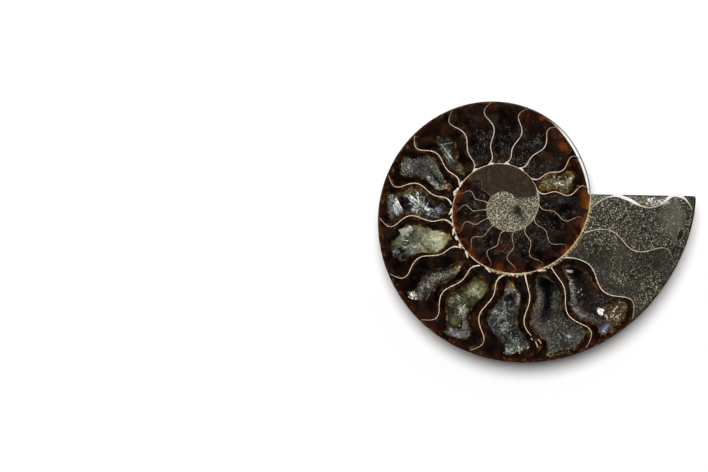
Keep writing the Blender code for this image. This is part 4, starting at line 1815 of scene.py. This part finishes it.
    def close(self, rings: list, marks: dict, angle: Array, turn: Array) -> None:
        """Add the rings of the worn rim and of the well below the chamber fills.

        Args:
            rings: the flank's rings, to add to.
            marks: their marks, to add to.
            angle: angles of the last ring.
            turn: shares of the way round.
        """
        coil = self.coil
        # Where the rings' pale flag is 1, beside the notch, the bevel gets the painted near-white
        # highlight band.
        patch = bell(angle, coil.worn_at + 2.0, coil.worn_half, 6)
        for inset, drop, pale in ((0.22, 0.8, 0.0), (0.3, 0.72, 1.0), (0.86, 0.12, 1.0),
                                  (0.93, 0.06, 0.0), (1.05, 0.02, 0.0), (1.7, 0.02, 0.0)):
            radius = coil.outer_radius(angle) - inset * np.maximum(coil.rim_width(angle), 0.5)
            height = coil.face - 0.02 - self.bevel(angle) * drop
            rings.append(lift(coil.plan(coil.saw_angle(radius) + FULL_TURN * turn, radius), height))
            marks["bevel_highlight"].append(pale * patch)
            marks["sawn"].append(np.where(turn < 0.5, bell(turn, 0.0, 0.004), 0.0))
        shy = rings[-1]
        near_mouth = (turn < 0.2) & (shy[:, 1] > coil.centre_y)
        limit = coil.centre_y + coil.saw_height - 1.6
        shy[:, 1] = np.where(near_mouth, np.minimum(shy[:, 1], limit), shy[:, 1])
        marks["sawn"][-1] = np.where(near_mouth, 1.0, marks["sawn"][-1])
        rings.append(lift(shy[:, :2], coil.face - self.well))
        marks["bevel_highlight"].append(np.zeros_like(turn))
        marks["sawn"].append(np.where(turn < 0.2, 1.0, 0.0))
        added = len(rings) - len(marks["rim"])
        marks["suture"] += [marks["suture"][-1]] * added
        marks["rim"] += [np.ones_like(turn)] * added

    def faces(self, rows: int) -> list[tuple]:
        """Faces over the centre point and the rings, with the sawn end and the well's bottom.

        Args:
            rows: the number of rings.

        Returns:
            Corners of each face.
        """
        count = self.columns + 1
        faces = (strip_quads(rows, count, closed=False) + 1).tolist()
        faces += [(0, 2 + column, 1 + column) for column in range(self.columns)]
        ends = [1 + row * count for row in range(self.centre_rows - 1, rows - 2)]
        faces.append(tuple(ends + [start + self.columns for start in reversed(ends[1:])]))
        for row in (rows - 3, rows - 2):
            start = 1 + row * count
            faces.append((start + self.columns, start, start + count,
                          start + count + self.columns))
        last = 1 + (rows - 1) * count
        faces.append(tuple(range(last, last + count)))
        return faces

    def build(self, material: Material) -> None:
        """Make the body: flank, worn rim, and a well below the chamber fills.

        Args:
            material: its finish.
        """
        coil = self.coil
        turn = np.linspace(0.0, 1.0, self.columns + 1)
        rings, marks, angle = self.flank(turn)
        self.close(rings, marks, angle, turn)
        centre = [[coil.centre_x, coil.centre_y, coil.face - coil.core_depth]]
        marks = {name: np.concatenate([[0.0], *rows]) for name, rows in marks.items()}
        piece = make_piece("outer_shell",
                           (np.concatenate([centre, *rings]), self.faces(len(rings))),
                           material, **marks)
        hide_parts("ammonite_half")


# -------- The stage --------

@dataclass(frozen=True)
class Studio:
    """Camera, soft light and a white sheet."""

    coil: Coil
    view_width: float = 246.1
    lens: float = 135.0
    aside: tuple[float, float] = (-52.84, -10.42)

    def camera(self) -> None:
        """Look straight down with a long lens, so that the half lies right of the middle."""
        data = bpy.data.cameras.new("camera")
        data.lens = self.lens
        data.sensor_width = 36.0
        data.clip_end = 10.0
        item = put("camera", data)
        distance = self.view_width * self.lens / data.sensor_width
        item.location = ((self.coil.centre_x + self.aside[0]) * MM,
                         (self.coil.centre_y + self.aside[1]) * MM,
                         (self.coil.face + distance) * MM)
        bpy.context.scene.camera = item

    def lamp(self, name: str, place: tuple) -> None:
        """Square lamp that faces the stone and shows only in its gloss.

        Args:
            name: the lamp's name.
            place: where it stands, in metres.
        """
        data = bpy.data.lights.new(name, "AREA")
        data.energy = 2.2
        data.size = 0.30
        item = put(name, data)
        item.location = place
        item.rotation_euler = (math.atan2(math.hypot(place[0], place[1]), place[2]), 0.0,
                               math.atan2(place[1], place[0]) + math.pi / 2)
        item.visible_diffuse = False

    def surroundings(self) -> None:
        """A dim ceiling and bright walls, brighter on the far side."""
        world = bpy.data.worlds.new("studio")
        world.use_nodes = True
        tree = world.node_tree
        background = tree.nodes["Background"].inputs
        direction, split, ramp, side = (tree.nodes.new("ShaderNode" + kind) for kind in
                                        ("TexCoord", "SeparateXYZ", "ValToRGB", "MapRange"))
        for element, (position, level) in zip(ramp.color_ramp.elements,
                                              ((0.25, 0.5), (0.85, 0.01))):
            element.position = position
            element.color = (level, level, level, 1.0)
        for key, value in (("From Min", -0.7), ("From Max", 0.5), ("To Min", 0.2),
                           ("To Max", 1.3)):
            side.inputs[key].default_value = value
        for source, target in ((direction.outputs["Generated"], split.inputs[0]),
                               (split.outputs["Z"], ramp.inputs[0]),
                               (ramp.outputs[0], background["Color"]),
                               (split.outputs["Y"], side.inputs["Value"]),
                               (side.outputs[0], background["Strength"])):
            tree.links.new(source, target)
        bpy.context.scene.world = world

    def light(self) -> None:
        """A soft sun just off the vertical, the surroundings, and two lamps for the gloss."""
        bpy.context.scene.view_settings.view_transform = "Standard"
        self.surroundings()
        sun = bpy.data.lights.new("key", "SUN")
        sun.energy = 3.0
        sun.angle = math.radians(26.0)
        key = put("key", sun)
        key.rotation_euler = (math.radians(-14.5), math.radians(-5.5), 0.0)
        key.visible_glossy = False
        self.lamp("side_lamp", (0.50, 0.28, 0.36))
        self.lamp("far_lamp", (0.10, 0.55, 0.40))

    def floor(self) -> None:
        """A plain pale sheet under the stone."""
        low, reach = CAD_BOUNDS[0][2], 4.0
        mesh = bpy.data.meshes.new("floor")
        mesh.from_pydata([(-reach, -reach, low), (reach, -reach, low), (reach, reach, low),
                          (-reach, reach, low)], [], [(0, 1, 2, 3)])
        mesh.materials.append(Recipe("white_paper").finish(Base_Color="#ffffff", Roughness=0.9))
        item = put("floor", mesh)


MUDSTONES = (
    # Dark, with pale grains of calcite and pyrite all over.
    Mudstone("speckled_mudstone", "#0e0c09 #2d2a26 #5a564d #d3ccb4 #514d45 #463f2c"),
    # The same mud in calm dark patches, with its grains in drifts.
    Mudstone("shaded_mudstone", "#0a0907 #28251f #504d41 #bcb69e #2a2621 #2b2820"),
    # Even, brown and dull.
    Mudstone("brown_mudstone", "#261d16 #33291f #40362c #4b4036 #352b23 #3b3122", 0.8),
    # Coarse and light, like sugar.
    Mudstone("granular_core", "#17150f #64624d #a5a28b #d6d3be #676852 #6a5a3c", 0.62, 3.0,
             0.7, 0.6),
    # Nearly black: painted shade for the small hole of the core's pocket.
    Mudstone("pocket_shade_mudstone", "#0c0a08 #211a13 #3a2f24 #4a3d30 #1d1712 #2a1f14"),
    # Nearly white grains with dark gaps.
    Mudstone("white_crystals", "#0c0c0a #8a8a82 #ecebe4 #ffffff #b9b8b0 #8f8f85", 0.8),
    # Smooth and dark, and the pale border around it.
    Mudstone("lens_mudstone", "#0b0a07 #1c1915 #2c2822 #38342d #211e19 #25221a"),
    Mudstone("pale_mudstone", "#4a473d #7a766a #97937f #aaa592 #858170 #6a6557"),
)


def build_mouth(coil: Coil, stone: dict[str, Material]) -> None:
    """Build the mud of the two chambers beside the mouth, with its lenses and crystals.

    Args:
        coil: the spiral.
        stone: the kinds of mudstone by name.
    """
    pale, lens = stone["pale_mudstone"], stone["lens_mudstone"]
    ChamberFill(coil, SAWN_EDGE).build("mouth_sliver", stone["granular_core"])
    ChamberFill(coil, 0).build("mud_fill_00", stone["speckled_mudstone"])
    ChamberFill(coil, 1).build("mud_fill_01", stone["shaded_mudstone"])
    Inlay(coil, "mud_lens_a_rim", 0, 0.915, 0.60, 4.5, 2.3, 62.0, pale, rise=0.012).build()
    Inlay(coil, "mud_lens_a", 0, 0.915, 0.60, 4.0, 1.8, 62.0, lens, 0.3).build()
    Inlay(coil, "mud_lens_b", 0, 0.905, 0.90, 3.6, 1.0, 66.0, lens, 0.3).build()
    Inlay(coil, "sliver_crystals", SAWN_EDGE, 0.63, 0.55, 7.6, 2.9, -4.0,
          stone["white_crystals"]).build()


def build_face(coil: Coil) -> None:
    """Build every fill, septum and wall of the polished face.

    Args:
        coil: the spiral that they follow.
    """
    calcite = PolishedCalcite().make()
    shell = ShellCalcite().make()
    stone = {finish.name: finish.make() for finish in MUDSTONES}
    porous = ShellCalcite("porous_shell", "#b09c70", "#6a5530", "#3d2f1c").make()
    whorl = ShellCalcite("whorl_calcite", "#d6c4a8", "#a58a64", "#54422f").make()
    build_mouth(coil, stone)
    hollows = {hollow.chamber: hollow for hollow in HOLLOWS}
    for index in range(2, MUD_CHAMBER):
        fill = ChamberFill(coil, index, hollows.get(index),
                           warmth=0.24 if index < INNER_WHORL else 0.6,
                           specks=0.78 if index > 10 else 0.45,
                           fringe=0.9 if index < 11 or index == 15 else 0.3,
                           void_shade=1.0 if 2 < index < 12 else 0.0)
        fill.build(f"calcite_fill_{index:02d}", calcite)
    Core(coil).build(*(stone[name] for name in ("granular_core", "brown_mudstone",
                                                "pocket_shade_mudstone")))
    Septa(coil).build(shell)
    wall = WhorlWall(coil)
    wall.build(whorl)
    wall.stubs(shell)
    wall.beads(porous)
    wall.pores(ShellCalcite("pore_shadow", dull="#0c0a08").make())


def main() -> None:
    """Build every piece of the stone, then the stage."""
    logging.basicConfig(level=logging.INFO, format="%(message)s")
    coil = Coil.in_box(*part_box("ammonite_half"))
    build_face(coil)
    finishes = {Habit.DOGTOOTH: Crystals(),
                Habit.RHOMBS: Crystals("massive_calcite", blotch=1.3, contrast=1.9, roughness=0.25),
                Habit.GRAINS: Crystals("sugary_calcite", blotch=0.6, contrast=5.4)}
    materials = {habit: finish.make() for habit, finish in finishes.items()}
    for hollow in HOLLOWS:
        CrystalCrust(coil, hollow).build(materials[hollow.habit])
    body = StoneBody(coil)
    body.build(OuterShell().make())
    body.sawn_end(Mudstone("sawn_mudstone", "#191611 #38332a #575244 #777160 #3a352c #41382a",
                           0.8).make())
    studio = Studio(coil)
    studio.camera()
    studio.light()
    studio.floor()


if __name__ == "__main__":
    main()
